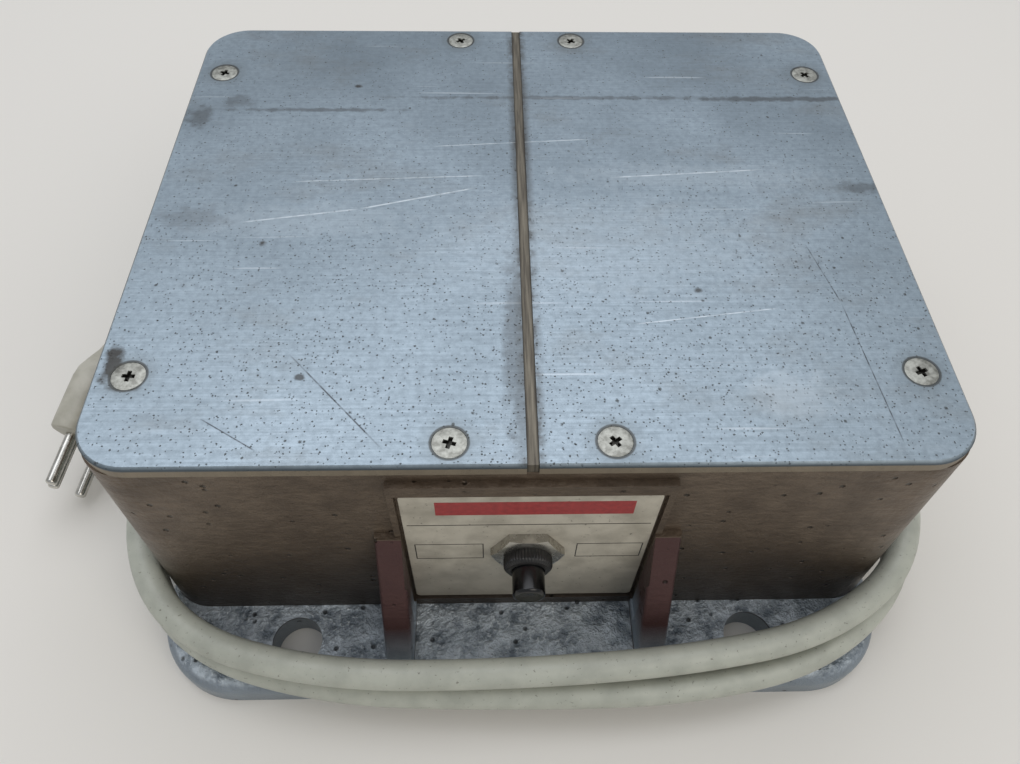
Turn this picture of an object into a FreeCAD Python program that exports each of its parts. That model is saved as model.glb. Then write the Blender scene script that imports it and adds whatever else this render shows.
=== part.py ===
import FreeCAD, Part
import math
import os
import re

from FreeCAD import Placement, Rotation, Vector
from Sketcher import Constraint

# A bench demagnetiser: a cast box with a flange, two steel pole plates with a gap strip between them,
# a wound core below the plates, a push button in the front and a mains cord wound round the box.
# Millimetres. X to the right, Y to the back, Z up. The origin is the middle of the footprint.

doc = FreeCAD.newDocument("bench_demagnetiser")

drivingSizes = {
    # top face and pole plates
    "body_width": 235, "body_depth": 196, "total_height": 100, "plate_thickness": 4, "plate_corner": 15,
    "plate_edge_break": 0.8, "gap_width": 3.2, "gap_strip_drop": 0.4, "gap_strip_end": 0.6,
    # casting
    "rim_step": 0.5, "wall_corner": 12, "wall_draft": 1.5, "wall": 7, "cavity_corner": 6,
    "flange_thickness": 10.4, "flange_side": 0.5, "flange_reach": 27.5, "flange_corner": 27,
    "flange_edge_round": 4.5, "flange_hole": 16.2, "flange_hole_side": 45.5, "flange_hole_end": 15.5,
    "rib_spacing": 80, "rib_width": 8.5, "rib_drop": 33, "rib_head": 3, "rib_foot": 22,
    "rib_edge_round": 1.2,
    # screws of the plates
    "plate_screw": 5, "plate_screw_head": 9.2, "plate_screw_length": 16, "screw_recess": 0.9,
    "outer_screw_side": 9.7, "outer_screw_end": 28.8, "inner_screw_x": 21.3, "inner_screw_end": 7.1,
    "screw_play": 0.1, "post_width": 14, "post_length": 28,
    # rating plate and its raised frame
    "label_width": 71, "label_height": 70, "label_drop": 10, "label_thickness": 0.8, "label_play": 1,
    "label_corner": 1.5, "frame_border": 1.8, "frame_rise": 2.2, "frame_top_border": 5,
    "label_sink": 1.6, "frame_depth": 10,
    # push button
    "button_drop": 33, "bushing": 12, "bushing_bore": 9.9, "bushing_rise": 0.2, "button": 9.5,
    "button_reach": 16.7, "button_travel": 3.5, "hex_nut_flats": 19, "hex_nut_thickness": 3,
    "ring_nut": 14.4, "ring_nut_length": 4.2, "ring_nut_grooves": 36, "ring_nut_groove": 0.5,
    "switch_case": 20, "switch_case_length": 19, "switch_case_wall": 1.5, "button_collar": 13,
    "button_collar_length": 2, "button_stem": 4, "button_dome": 0.8, "spring_wire": 0.7, "spring_turns": 5,
    "case_front": 2, "cap_setback": 4, "stem_length": 8, "spring_play": 0.4, "spring_length": 5,
    "spring_gap": 0.6, "bridge_setback": 11,
    "contact_length": 14, "contact_thickness": 1, "terminal_width": 4.8, "terminal_thickness": 0.8,
    "terminal_length": 8, "terminal_x": 6, "contact_play": 0.2,
    # core and coils
    "leg_width": 34, "leg_centre": 45, "stack": 90, "yoke_height": 30, "core_floor": 14,
    "bobbin_wall": 1.5, "bobbin_play": 0.5, "bobbin_flange": 2, "bobbin_end_play": 1, "winding": 13,
    "tape": 0.8, "clamp": 3, "clamp_foot": 18, "core_bolt": 6, "core_bolt_spread": 104,
    "core_bolt_head": 10, "core_bolt_head_height": 4, "bar_thickness": 6, "bar_width": 20, "bar_play": 7,
    "lug_height": 16, "lug_reach": 18, "lug_thread": 10, "foot_bolt_spread": 100,
    "cutout_width": 16, "cutout_height": 12, "cutout_depth": 7, "cutout_rise": 16,
    "bolt_head_thin": 2, "coil_corner": 7.8, "bobbin_rim": 1.5,
    # wiring
    "terminal_pad_width": 70, "terminal_pad_height": 26, "terminal_pad_bottom": 38,
    "terminal_pad_rise": 2.5, "block_width": 36, "block_height": 18, "block_depth": 15,
    "block_x": -8, "block_hole": 3.2, "block_screw_bite": 4, "block_screw_head": 2, "way_spacing": 11,
    "way_screw": 3, "way_screw_rise": 4.5, "way_screw_length": 4, "way_tap_depth": 6,
    "way_screw_sink": 0.6, "wire": 2.4,
    "earth_x": 27, "earth_screw": 5, "earth_screw_bite": 5, "earth_screw_head": 3, "earth_lug": 10,
    "earth_lug_thickness": 1, "lug_tail": 12, "lug_tail_width": 5, "lug_tail_drop": 14,
    # bottom cover
    "cover": 2, "gasket": 1, "cover_ledge": 4, "cover_play": 0.4, "cover_screw": 4,
    "cover_post_bite": 0.5, "cover_post": 16, "cover_post_height": 22,
    "cover_screw_length": 12, "cover_screw_head": 7.5, "cover_screw_depth": 0.2, "gasket_rim": 3,
    # cable gland and cord
    "gland_x": 0, "gland_height": 25, "gland_thread": 16, "gland_flats": 20, "gland_hex": 5,
    "gland_nut": 4, "gland_cap": 9, "gland_boss": 26, "gland_boss_rise": 1, "gland_nut_gap": 0.3,
    "gland_thread_end": 2, "gland_cap_lip": 0.6, "seal_bury": 6,
    "gland_cap_width": 18, "seal_wall": 2.2,
    "relief_length": 24, "relief_root": 13, "relief_tip": 10.4, "cord": 9, "cord_inside": 8,
    # plug on the cord
    "plug_width": 35, "plug_depth": 14, "plug_length": 22, "plug_shoulder": 16, "plug_neck": 11,
    "plug_relief": 24, "pin": 4, "pin_length": 19, "pin_spacing": 19, "earth_pin_offset": 5,
    "plug_lip": 0.7, "plug_edge": 1.5, "pin_round": 1.2, "pin_root": 6,
    # a cutter that goes right through a piece, and how far pieces run into each other before they are joined
    "cutter": 240, "bite": 1,
}

sheet = doc.addObject("Spreadsheet::Sheet", "sizes")
for row, (alias, number) in enumerate(drivingSizes.items(), start=1):
    sheet.set("A%d" % row, alias)
    sheet.set("B%d" % row, str(number))
    sheet.setAlias("B%d" % row, alias)
doc.recompute()

# Places and sizes that follow from the driving ones.
derivedSizes = {
    "rim_height": "total_height - plate_thickness",
    "wall_top_width": "body_width - 2 * rim_step",
    "wall_top_depth": "body_depth - 2 * rim_step",
    "rib_top": "rim_height - rib_drop",
    "label_top": "rim_height - label_drop",
    "button_height": "label_top - button_drop",
    "outer_screw_x": "body_width / 2 - outer_screw_side",
    "outer_screw_y": "body_depth / 2 - outer_screw_end",
    "inner_screw_y": "body_depth / 2 - inner_screw_end",
    "draft_run": "rim_height * tan(wall_draft * 1 deg)",
    "wall_foot_width": "wall_top_width + 2 * draft_run",
    "wall_foot_depth": "wall_top_depth + 2 * draft_run",
    "flange_width": "wall_foot_width + 2 * flange_side",
    "flange_depth": "wall_foot_depth + 2 * flange_reach",
    "flange_hole_across": "flange_width - 2 * flange_hole_side",
    "flange_hole_along": "flange_depth - 2 * flange_hole_end",
    "cavity_top_width": "wall_top_width - 2 * wall",
    "cavity_top_depth": "wall_top_depth - 2 * wall",
    "cavity_foot_width": "wall_foot_width - 2 * wall",
    "cavity_foot_depth": "wall_foot_depth - 2 * wall",
    "cover_screw_x": "cavity_foot_width / 2 - cover_post / 2 + cover_post_bite",
    "cover_screw_y": "cavity_foot_depth / 2 - cover_post / 2 + cover_post_bite",
    "wall_front": "wall_top_depth / 2",
    "frame_face": "wall_front + frame_rise",
    "label_seat": "frame_face - label_sink",
    "label_face": "label_seat + label_thickness",
    "switch_wall": "wall_front - wall",
    "ring_front": "label_face + hex_nut_thickness + ring_nut_length",
    "bushing_end": "ring_front + bushing_rise",
    "cap_back": "switch_wall - cap_setback",
    "collar_back": "cap_back - button_collar_length / 2",
    "case_cavity": "switch_case_length - switch_case_wall - case_front",
    "case_inside": "switch_case - 2 * switch_case_wall",
    "button_end": "wall_front + button_reach",
    "yoke_length": "2 * leg_centre + leg_width",
    "yoke_top": "core_floor + yoke_height",
    "bar_floor": "core_floor - bar_thickness",
    "bar_length": "cavity_top_width - 2 * bar_play",
    "bobbin_hole_width": "leg_width + 2 * bobbin_play",
    "bobbin_hole_depth": "stack + 2 * bobbin_play",
    "bobbin_width": "bobbin_hole_width + 2 * bobbin_wall",
    "bobbin_depth": "bobbin_hole_depth + 2 * bobbin_wall",
    "coil_width": "bobbin_width + 2 * winding",
    "coil_depth": "bobbin_depth + 2 * winding",
    "bobbin_floor": "yoke_top + bobbin_end_play",
    "bobbin_height": "rim_height - yoke_top - 2 * bobbin_end_play",
    "coil_floor": "bobbin_floor + bobbin_flange",
    "coil_height": "bobbin_height - 2 * bobbin_flange",
    "foot_bolt_y": "stack / 2 + clamp_foot / 2",
    "cover_seat": "cover + gasket",
    "cover_width": "cavity_foot_width + 2 * cover_ledge",
    "cover_depth": "cavity_foot_depth + 2 * cover_ledge",
    "gland_wall_inside": "wall_front - wall + (rim_height - gland_height) * tan(wall_draft * 1 deg)",
    "gland_wall_outside": "wall_front + (rim_height - gland_height) * tan(wall_draft * 1 deg)",
    "gland_shoulder": "gland_wall_outside + gland_boss_rise",
    "gland_end": "gland_shoulder + gland_hex + gland_cap",
    "relief_end": "gland_end + relief_length",
    "cord_inner_end": "gland_wall_inside - gland_nut - cord_inside",
    "bridge_back": "switch_wall - bridge_setback - contact_thickness",
    "contact_front": "bridge_back - button_travel - contact_play",
    "contact_back": "switch_wall - switch_case_length - terminal_length",
    "terminal_pad_face": "wall_front - wall - terminal_pad_rise",
    "terminal_z": "terminal_pad_bottom + terminal_pad_height / 2",
    "cutout_y": "coil_depth / 2 + tape + cutout_depth / 2",
}

places = doc.addObject("App::VarSet", "places")
knownNames = {name: "sizes." + name for name in drivingSizes}
knownNames.update({name: "places." + name for name in derivedSizes})


def formula(words):
    """An expression of the document from one written in the plain names above."""
    return re.sub(r"[a-z_]+", lambda found: knownNames.get(found.group(), found.group()), str(words))


for alias, words in derivedSizes.items():
    places.addProperty("App::PropertyFloat", alias)
    places.setExpression(alias, formula(words))
doc.recompute()


class Measure:
    """Reads a driving or a derived size by its name, as a number of millimetres."""

    def __getattr__(self, name):
        return float(sheet.get(name)) if name in drivingSizes else float(getattr(places, name))


size = Measure()
finished = []


def bind(item, **expressions):
    for name, words in expressions.items():
        item.setExpression(name, formula(words))


def put(item, at, turn=None):
    """Places an object by three expressions, turned by a fixed rotation."""
    if turn is not None:
        item.Placement = Placement(Vector(), turn)
    for axis, words in zip("xyz", at):
        item.setExpression("Placement.Base." + axis, formula(words))
    return item


def node(item, label):
    """Marks an object as a finished sub-part and gives it its label."""
    item.Label = label
    finished.append(item)
    return item


def block(name, length, width, height, at):
    """A box centred in X and Y on a place, standing up from it."""
    item = doc.addObject("Part::Box", name)
    bind(item, Length=length, Width=width, Height=height)
    x, y, z = at
    return put(item, ("%s - (%s) / 2" % (x, length), "%s - (%s) / 2" % (y, width), z))


alongY = Rotation(Vector(1, 0, 0), -90)


def rod(name, radius, height, at, turn=None):
    item = doc.addObject("Part::Cylinder", name)
    bind(item, Radius=radius, Height=height)
    return put(item, at, turn)


def through(name, radius, at, turn=None):
    """A cutter that goes right through a piece, with its middle at a place."""
    x, y, z = at
    if turn is alongY:
        return rod(name, radius, "cutter", (x, "%s - cutter / 2" % y, z), turn)
    return rod(name, radius, "cutter", (x, y, "%s - cutter / 2" % z))


def cone(name, radius1, radius2, height, at, turn=None):
    item = doc.addObject("Part::Cone", name)
    bind(item, Radius1=radius1, Radius2=radius2, Height=height)
    return put(item, at, turn)


def hexagon(name, flats, height, at, turn=None):
    """A six-sided prism with a size across its flats."""
    item = doc.addObject("Part::Prism", name)
    item.Polygon = 6
    bind(item, Circumradius="(%s) / 2 / cos(30 deg)" % flats, Height=height)
    return put(item, at, turn)


def joined(name, pieces):
    item = doc.addObject("Part::MultiFuse", name)
    item.Shapes = pieces
    item.Refine = True
    return item


def gathered(name, pieces):
    """Separate solids that share a node."""
    item = doc.addObject("Part::Compound", name)
    item.Links = pieces
    return item


def without(name, base, tools):
    item = doc.addObject("Part::Cut", name)
    item.Base = base
    item.Tool = tools[0] if len(tools) == 1 else joined(name + "_tools", tools)
    return item


def planeOf(body, role):
    return [item for item in body.Origin.OriginFeatures if item.Role == role][0]


def sketchOn(body, name, role="XY_Plane", offset="0"):
    """A sketch on one of a body's origin planes, at a distance from it."""
    sketch = body.newObject("Sketcher::SketchObject", name)
    sketch.AttachmentSupport = [(planeOf(body, role), "")]
    sketch.MapMode = "FlatFace"
    sketch.setExpression("AttachmentOffset.Base.z", formula(offset))
    return sketch


def rule(sketch, constraint, words, name):
    """A named constraint of a sketch, bound to an expression."""
    index = sketch.addConstraint(constraint)
    sketch.renameConstraint(index, name)
    sketch.setExpression("Constraints." + name, formula(words))


def rectangle(sketch, left, right, bottom, top):
    """Four lines whose distances from the sketch's axes are expressions."""
    first = sketch.GeometryCount
    corners = [Vector(-10, -10, 0), Vector(10, -10, 0), Vector(10, 10, 0), Vector(-10, 10, 0)]
    for index in range(4):
        sketch.addGeometry(Part.LineSegment(corners[index], corners[(index + 1) % 4]), False)
    for index in range(4):
        sketch.addConstraint(Constraint("Coincident", first + index, 2, first + (index + 1) % 4, 1))
    for index, kind in enumerate(("Horizontal", "Vertical", "Horizontal", "Vertical")):
        sketch.addConstraint(Constraint(kind, first + index))
    rule(sketch, Constraint("DistanceX", -1, 1, first + 2, 2, -10.0), left, "left")
    rule(sketch, Constraint("DistanceX", -1, 1, first, 2, 10.0), right, "right")
    rule(sketch, Constraint("DistanceY", -1, 1, first, 2, -10.0), bottom, "bottom")
    rule(sketch, Constraint("DistanceY", -1, 1, first + 2, 2, 10.0), top, "top")


def pad(body, name, sketch, length):
    feature = body.newObject("PartDesign::Pad", name)
    feature.Profile = sketch
    bind(feature, Length=length)
    return feature


def edgesWhere(feature, test):
    """The names of a feature's edges that pass a test on their shape."""
    return ["Edge%d" % (index + 1) for index, edge in enumerate(feature.Shape.Edges) if test(edge)]


def fillet(body, name, base, test, radius):
    doc.recompute()
    feature = body.newObject("PartDesign::Fillet", name)
    feature.Base = (base, edgesWhere(base, test))
    bind(feature, Radius=radius)
    return feature


def upright(edge):
    low, high = edge.BoundBox.ZMin, edge.BoundBox.ZMax
    return high - low > 0.5 and edge.BoundBox.XLength < 0.05 and edge.BoundBox.YLength < 0.05


def roundedSlab(name, width, depth, corner, height, z):
    """A body of one padded rectangle whose four upright edges are rounded."""
    body = doc.addObject("PartDesign::Body", name)
    sketch = sketchOn(body, name + "_outline", offset=z)
    rectangle(sketch, "-(%s) / 2" % width, "(%s) / 2" % width, "-(%s) / 2" % depth, "(%s) / 2" % depth)
    slab = pad(body, name + "_pad", sketch, height)
    fillet(body, name + "_corners", slab, upright, corner)
    return body


def taperedSlab(name, topWidth, topDepth, footWidth, footDepth, topCorner, footCorner, height):
    """A loft between two rounded rectangles, from the floor up to a height."""
    faces = []
    for tag, width, depth, corner, z in (("foot", footWidth, footDepth, footCorner, "0"),
                                         ("top", topWidth, topDepth, topCorner, height)):
        slab = roundedSlab(name + "_" + tag, width, depth, corner, "1", z)
        doc.recompute()
        plane = min(slab.Shape.Faces, key=lambda face: face.CenterOfMass.z)
        section = doc.addObject("Part::Feature", name + "_" + tag + "_section")
        section.Shape = plane.OuterWire
        faces.append(section)
    item = doc.addObject("Part::Loft", name)
    item.Sections = faces
    item.Solid = True
    item.Ruled = True
    return item


def mirroredPairs(x, y):
    return [("%s%s" % (signX, x), "%s%s" % (signY, y)) for signX in ("-", "") for signY in ("-", "")]


def tube(label, points, diameter):
    """A round cord or wire along straight runs joined by tangent arcs."""
    corners = [Vector(*point) for point in points]
    arcs, edges, radii = [], [], []
    start = corners[0]
    for before, corner, after in zip(corners, corners[1:], corners[2:]):
        back, ahead = before - corner, after - corner
        reach = 0.45 * min(back.Length, ahead.Length)
        halfTurn = (math.pi - back.getAngle(ahead)) / 2
        radii.append(reach / math.tan(halfTurn))
        back.normalize()
        ahead.normalize()
        inward = back + ahead
        inward.normalize()
        middle = corner + inward * (radii[-1] / math.cos(halfTurn) - radii[-1])
        entry, leave = corner + back * reach, corner + ahead * reach
        edges.append(Part.LineSegment(start, entry).toShape())
        edges.append(Part.Arc(entry, middle, leave).toShape())
        start = leave
    edges.append(Part.LineSegment(start, corners[-1]).toShape())
    path = Part.Wire(edges)
    ring = Part.Wire([Part.Circle(corners[0], corners[1] - corners[0], diameter / 2).toShape()])
    solid = path.makePipeShell([ring], True, False)
    item = doc.addObject("Part::Feature", label)
    item.Shape = solid
    expected = math.pi * diameter ** 2 / 4 * path.Length
    print("%s: length %.0f, volume / (section * length) %.4f, radii %s" % (
        label, path.Length, solid.Volume / expected, " ".join("%.0f" % radius for radius in radii)))
    return node(item, label)


# The casting: a flange, a box with drafted walls, and what stands on them.

wallBox = taperedSlab("wall_box", "wall_top_width", "wall_top_depth", "wall_foot_width",
                      "wall_foot_depth", "wall_corner", "wall_corner + draft_run", "rim_height")
cavity = taperedSlab("cavity", "cavity_top_width", "cavity_top_depth", "cavity_foot_width",
                     "cavity_foot_depth", "cavity_corner", "cavity_corner + draft_run", "rim_height")


def flangeBody():
    body = roundedSlab("flange", "flange_width", "flange_depth", "flange_corner", "flange_thickness", "0")
    slab = body.Tip
    doc.recompute()
    top = size.flange_thickness
    fillet(body, "flange_round", slab,
           lambda edge: abs(edge.BoundBox.ZMin - top) < 0.01 and abs(edge.BoundBox.ZMax - top) < 0.01,
           "flange_edge_round")
    return body


def ribBody(name, x, side):
    """A rib in front of (side -1) or behind (side 1) the box, standing on the flange."""
    body = doc.addObject("PartDesign::Body", name)
    sketch = sketchOn(body, name + "_profile", "YZ_Plane", "%s - rib_width / 2" % x)
    inner, head = "wall_front - 1", "wall_front + rib_head"
    foot = "wall_foot_depth / 2 + rib_foot"
    marks = [(inner, "flange_thickness - 1"), (foot, "flange_thickness - 1"),
             (foot, "flange_thickness + 3"), (head, "rib_top"), (inner, "rib_top")]
    rough = [(90, 9), (124, 9), (124, 13), (101, 63), (90, 63)]
    for index, (across, up) in enumerate(rough):
        nextAcross, nextUp = rough[(index + 1) % len(rough)]
        start, end = Vector(side * across, up, 0), Vector(side * nextAcross, nextUp, 0)
        sketch.addGeometry(Part.LineSegment(start, end), False)
    for index in range(len(rough)):
        sketch.addConstraint(Constraint("Coincident", index, 2, (index + 1) % len(rough), 1))
    for index, (across, up) in enumerate(marks):
        rule(sketch, Constraint("DistanceX", -1, 1, index, 1, side * rough[index][0]),
             "%d * (%s)" % (side, across), "across%d" % index)
        rule(sketch, Constraint("DistanceY", -1, 1, index, 1, rough[index][1]), up, "up%d" % index)
    rib = pad(body, name + "_pad", sketch, "rib_width")
    doc.recompute()
    outward = side * (size.wall_foot_depth / 2 + 0.5)
    fillet(body, name + "_round", rib,
           lambda edge: edge.BoundBox.XLength < 0.01 and edge.BoundBox.ZLength > 20
           and side * edge.CenterOfMass.y > side * outward, "rib_edge_round")
    return body


def labelFrame():
    """The raised frame round the rating plate, from the flange up to near the rim."""
    width = "label_width + 2 * (label_play + frame_border)"
    top = "label_top + label_play + frame_top_border"
    return block("label_frame", width, "frame_depth", "%s - flange_thickness + bite" % top,
                 ("0", "-(frame_face - frame_depth / 2)", "flange_thickness - bite"))


def labelRecess():
    return block("label_recess", "label_width + 2 * label_play", "frame_depth",
                 "label_height + 2 * label_play",
                 ("0", "-(label_seat + frame_depth / 2)", "label_top - label_height - label_play"))


def castHousing():
    postParts = []
    for index, (x, y) in enumerate(mirroredPairs("outer_screw_x", "outer_screw_y")
                                   + mirroredPairs("inner_screw_x", "inner_screw_y")):
        postParts.append(rod("plate_post_%d" % index, "post_width / 2", "post_length",
                             (x, y, "rim_height - post_length")))
    for index, (x, y) in enumerate(mirroredPairs("cover_screw_x", "cover_screw_y")):
        postParts.append(rod("cover_post_%d" % index, "cover_post / 2", "cover_post_height",
                             (x, y, "cover_seat")))
    for index, (signX, signY) in enumerate((("-", "-"), ("-", ""), ("", "-"), ("", ""))):
        postParts.append(block("bar_lug_%d" % index, "lug_reach + wall", "bar_width", "lug_height",
                               ("%s(cavity_top_width / 2 - lug_reach / 2 + wall / 2)" % signX,
                                "%sfoot_bolt_y" % signY, "core_floor")))
    postParts.append(block("terminal_pad", "terminal_pad_width", "wall", "terminal_pad_height",
                           ("earth_x / 2 - 4", "terminal_pad_face + wall / 2", "terminal_pad_bottom")))
    inside = doc.addObject("Part::Common", "posts_in_box")
    inside.Base = joined("posts", postParts)
    inside.Tool = wallBox
    boss = rod("gland_boss", "gland_boss / 2", "gland_boss_rise + wall / 2",
               ("gland_x", "gland_wall_outside - wall / 2", "gland_height"), alongY)
    shell = without("shell", joined("solid_box", [flangeBody(), wallBox, labelFrame(), boss]),
                    [cavity])
    ribs = [ribBody("rib_%s_%s" % (end, hand), "%s rib_spacing / 2" % sign, side)
            for end, side in (("front", -1), ("back", 1)) for hand, sign in (("left", "-"), ("right", ""))]
    ribsOutside = without("ribs_outside", joined("ribs", ribs), [cavity])
    casting = joined("casting_blank", [shell, inside, ribsOutside])
    cuts = [labelRecess()]
    for index, (x, y) in enumerate(mirroredPairs("flange_hole_across / 2", "flange_hole_along / 2")):
        cuts.append(through("flange_hole_%d" % index, "flange_hole / 2", (x, y, "0")))
    for index, (x, y) in enumerate(mirroredPairs("outer_screw_x", "outer_screw_y")
                                   + mirroredPairs("inner_screw_x", "inner_screw_y")):
        cuts.append(rod("plate_tap_%d" % index, "plate_screw / 2 + screw_play",
                        "plate_screw_length + 4", (x, y, "total_height - plate_screw_length - 2")))
    for index, (x, y) in enumerate(mirroredPairs("cover_screw_x", "cover_screw_y")):
        cuts.append(rod("cover_tap_%d" % index, "cover_screw / 2 + screw_play",
                        "cover_screw_length + 3", (x, y, "0")))
    for index, (signX, signY) in enumerate((("-", "-"), ("-", ""), ("", "-"), ("", ""))):
        cuts.append(rod("lug_tap_%d" % index, "core_bolt / 2 + screw_play", "lug_height",
                        ("%s(cavity_top_width / 2 - lug_reach / 2)" % signX, "%sfoot_bolt_y" % signY,
                         "core_floor - 2")))
    cuts.append(block("cover_recess", "cover_width + cover_play", "cover_depth + cover_play",
                      "cover_seat", ("0", "0", "0")))
    cuts.append(rod("button_hole", "bushing / 2 + screw_play", "4 * wall",
                    ("0", "-(wall_front + 2 * wall)", "button_height"), alongY))
    cuts.append(rod("gland_hole", "gland_thread / 2 + screw_play", "4 * wall",
                    ("gland_x", "wall_front - 2 * wall", "gland_height"), alongY))
    for index, x in enumerate(("block_x - block_width / 2 + block_hole",
                               "block_x + block_width / 2 - block_hole")):
        cuts.append(rod("block_tap_%d" % index, "block_hole / 2", "wall - bite",
                        (x, "terminal_pad_face - bite", "terminal_z"), alongY))
    cuts.append(rod("earth_tap", "earth_screw / 2 + screw_play", "wall - bite",
                    ("earth_x", "terminal_pad_face - bite", "terminal_z"), alongY))
    return node(without("casting", casting, cuts), "cast_housing")


def polePlate(hand, sign):
    """One pole plate: two rounded outer corners, a broken top edge and four countersunk holes."""
    name = "pole_plate_" + hand
    body = doc.addObject("PartDesign::Body", name + "_body")
    sketch = sketchOn(body, name + "_outline", offset="rim_height")
    inner, outer = "%d * gap_width / 2" % sign, "%d * body_width / 2" % sign
    left, right = (outer, inner) if sign < 0 else (inner, outer)
    rectangle(sketch, left, right, "-body_depth / 2", "body_depth / 2")
    slab = pad(body, name + "_pad", sketch, "plate_thickness")
    middle = size.body_width / 4
    corners = fillet(body, name + "_corners", slab,
                     lambda edge: upright(edge) and sign * edge.CenterOfMass.x > middle, "plate_corner")
    doc.recompute()
    top = size.total_height
    gapEdge = size.gap_width / 2 + 0.01
    chamfer = body.newObject("PartDesign::Chamfer", name + "_edge")
    chamfer.Base = (corners, edgesWhere(corners, lambda edge: edge.BoundBox.ZMin > top - 0.01
                                        and sign * edge.CenterOfMass.x > gapEdge))
    bind(chamfer, Size="plate_edge_break")
    tools = []
    holes = [("%d * outer_screw_x" % sign, "%souter_screw_y" % end) for end in ("-", "")]
    holes += [("%d * inner_screw_x" % sign, "%sinner_screw_y" % end) for end in ("-", "")]
    for index, (x, y) in enumerate(holes):
        tools.append(through("%s_hole_%d" % (name, index), "plate_screw / 2 + screw_play",
                             (x, y, "rim_height")))
        tools.append(cone("%s_sink_%d" % (name, index), "plate_screw / 2 + screw_play",
                          "plate_screw_head / 2 + screw_play",
                          "(plate_screw_head - plate_screw) / 2",
                          (x, y, "total_height - (plate_screw_head - plate_screw) / 2")))
    return node(without(name + "_drilled", body, tools), name)


def crossRecess(name, x, y, z):
    """Two crossing slots in a screw's head."""
    height = "screw_recess * 2"
    bottom = "%s - screw_recess" % z
    return [block(name + "_slot_a", "plate_screw", "screw_recess", height, (x, y, bottom)),
            block(name + "_slot_b", "screw_recess", "plate_screw", height, (x, y, bottom))]


def plateScrews():
    screws = []
    headHeight = "(plate_screw_head - plate_screw) / 2"
    for index, (x, y) in enumerate(mirroredPairs("outer_screw_x", "outer_screw_y")
                                   + mirroredPairs("inner_screw_x", "inner_screw_y")):
        name = "plate_screw_%d" % index
        shank = rod(name + "_shank", "plate_screw / 2", "plate_screw_length",
                    (x, y, "total_height - plate_screw_length"))
        head = cone(name + "_head", "plate_screw / 2", "plate_screw_head / 2", headHeight,
                    (x, y, "total_height - %s" % headHeight))
        screws.append(without(name, joined(name + "_blank", [shank, head]),
                              crossRecess(name, x, y, "total_height")))
    return node(gathered("plate_screw_set", screws), "plate_screws")


def ratingPlate():
    body = doc.addObject("PartDesign::Body", "rating_plate_body")
    sketch = sketchOn(body, "rating_plate_outline", "XZ_Plane", "label_seat")
    rectangle(sketch, "-label_width / 2", "label_width / 2", "label_top - label_height", "label_top")
    sheetPad = pad(body, "rating_plate_pad", sketch, "label_thickness")
    corners = fillet(body, "rating_plate_corners", sheetPad,
                     lambda edge: edge.BoundBox.XLength < 0.01 and edge.BoundBox.ZLength < 0.01,
                     "label_corner")
    hole = through("rating_plate_hole", "bushing / 2 + screw_play",
                   ("0", "-label_seat", "button_height"), alongY)
    return node(without("rating_plate_drilled", body, [hole]), "rating_plate")


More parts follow.
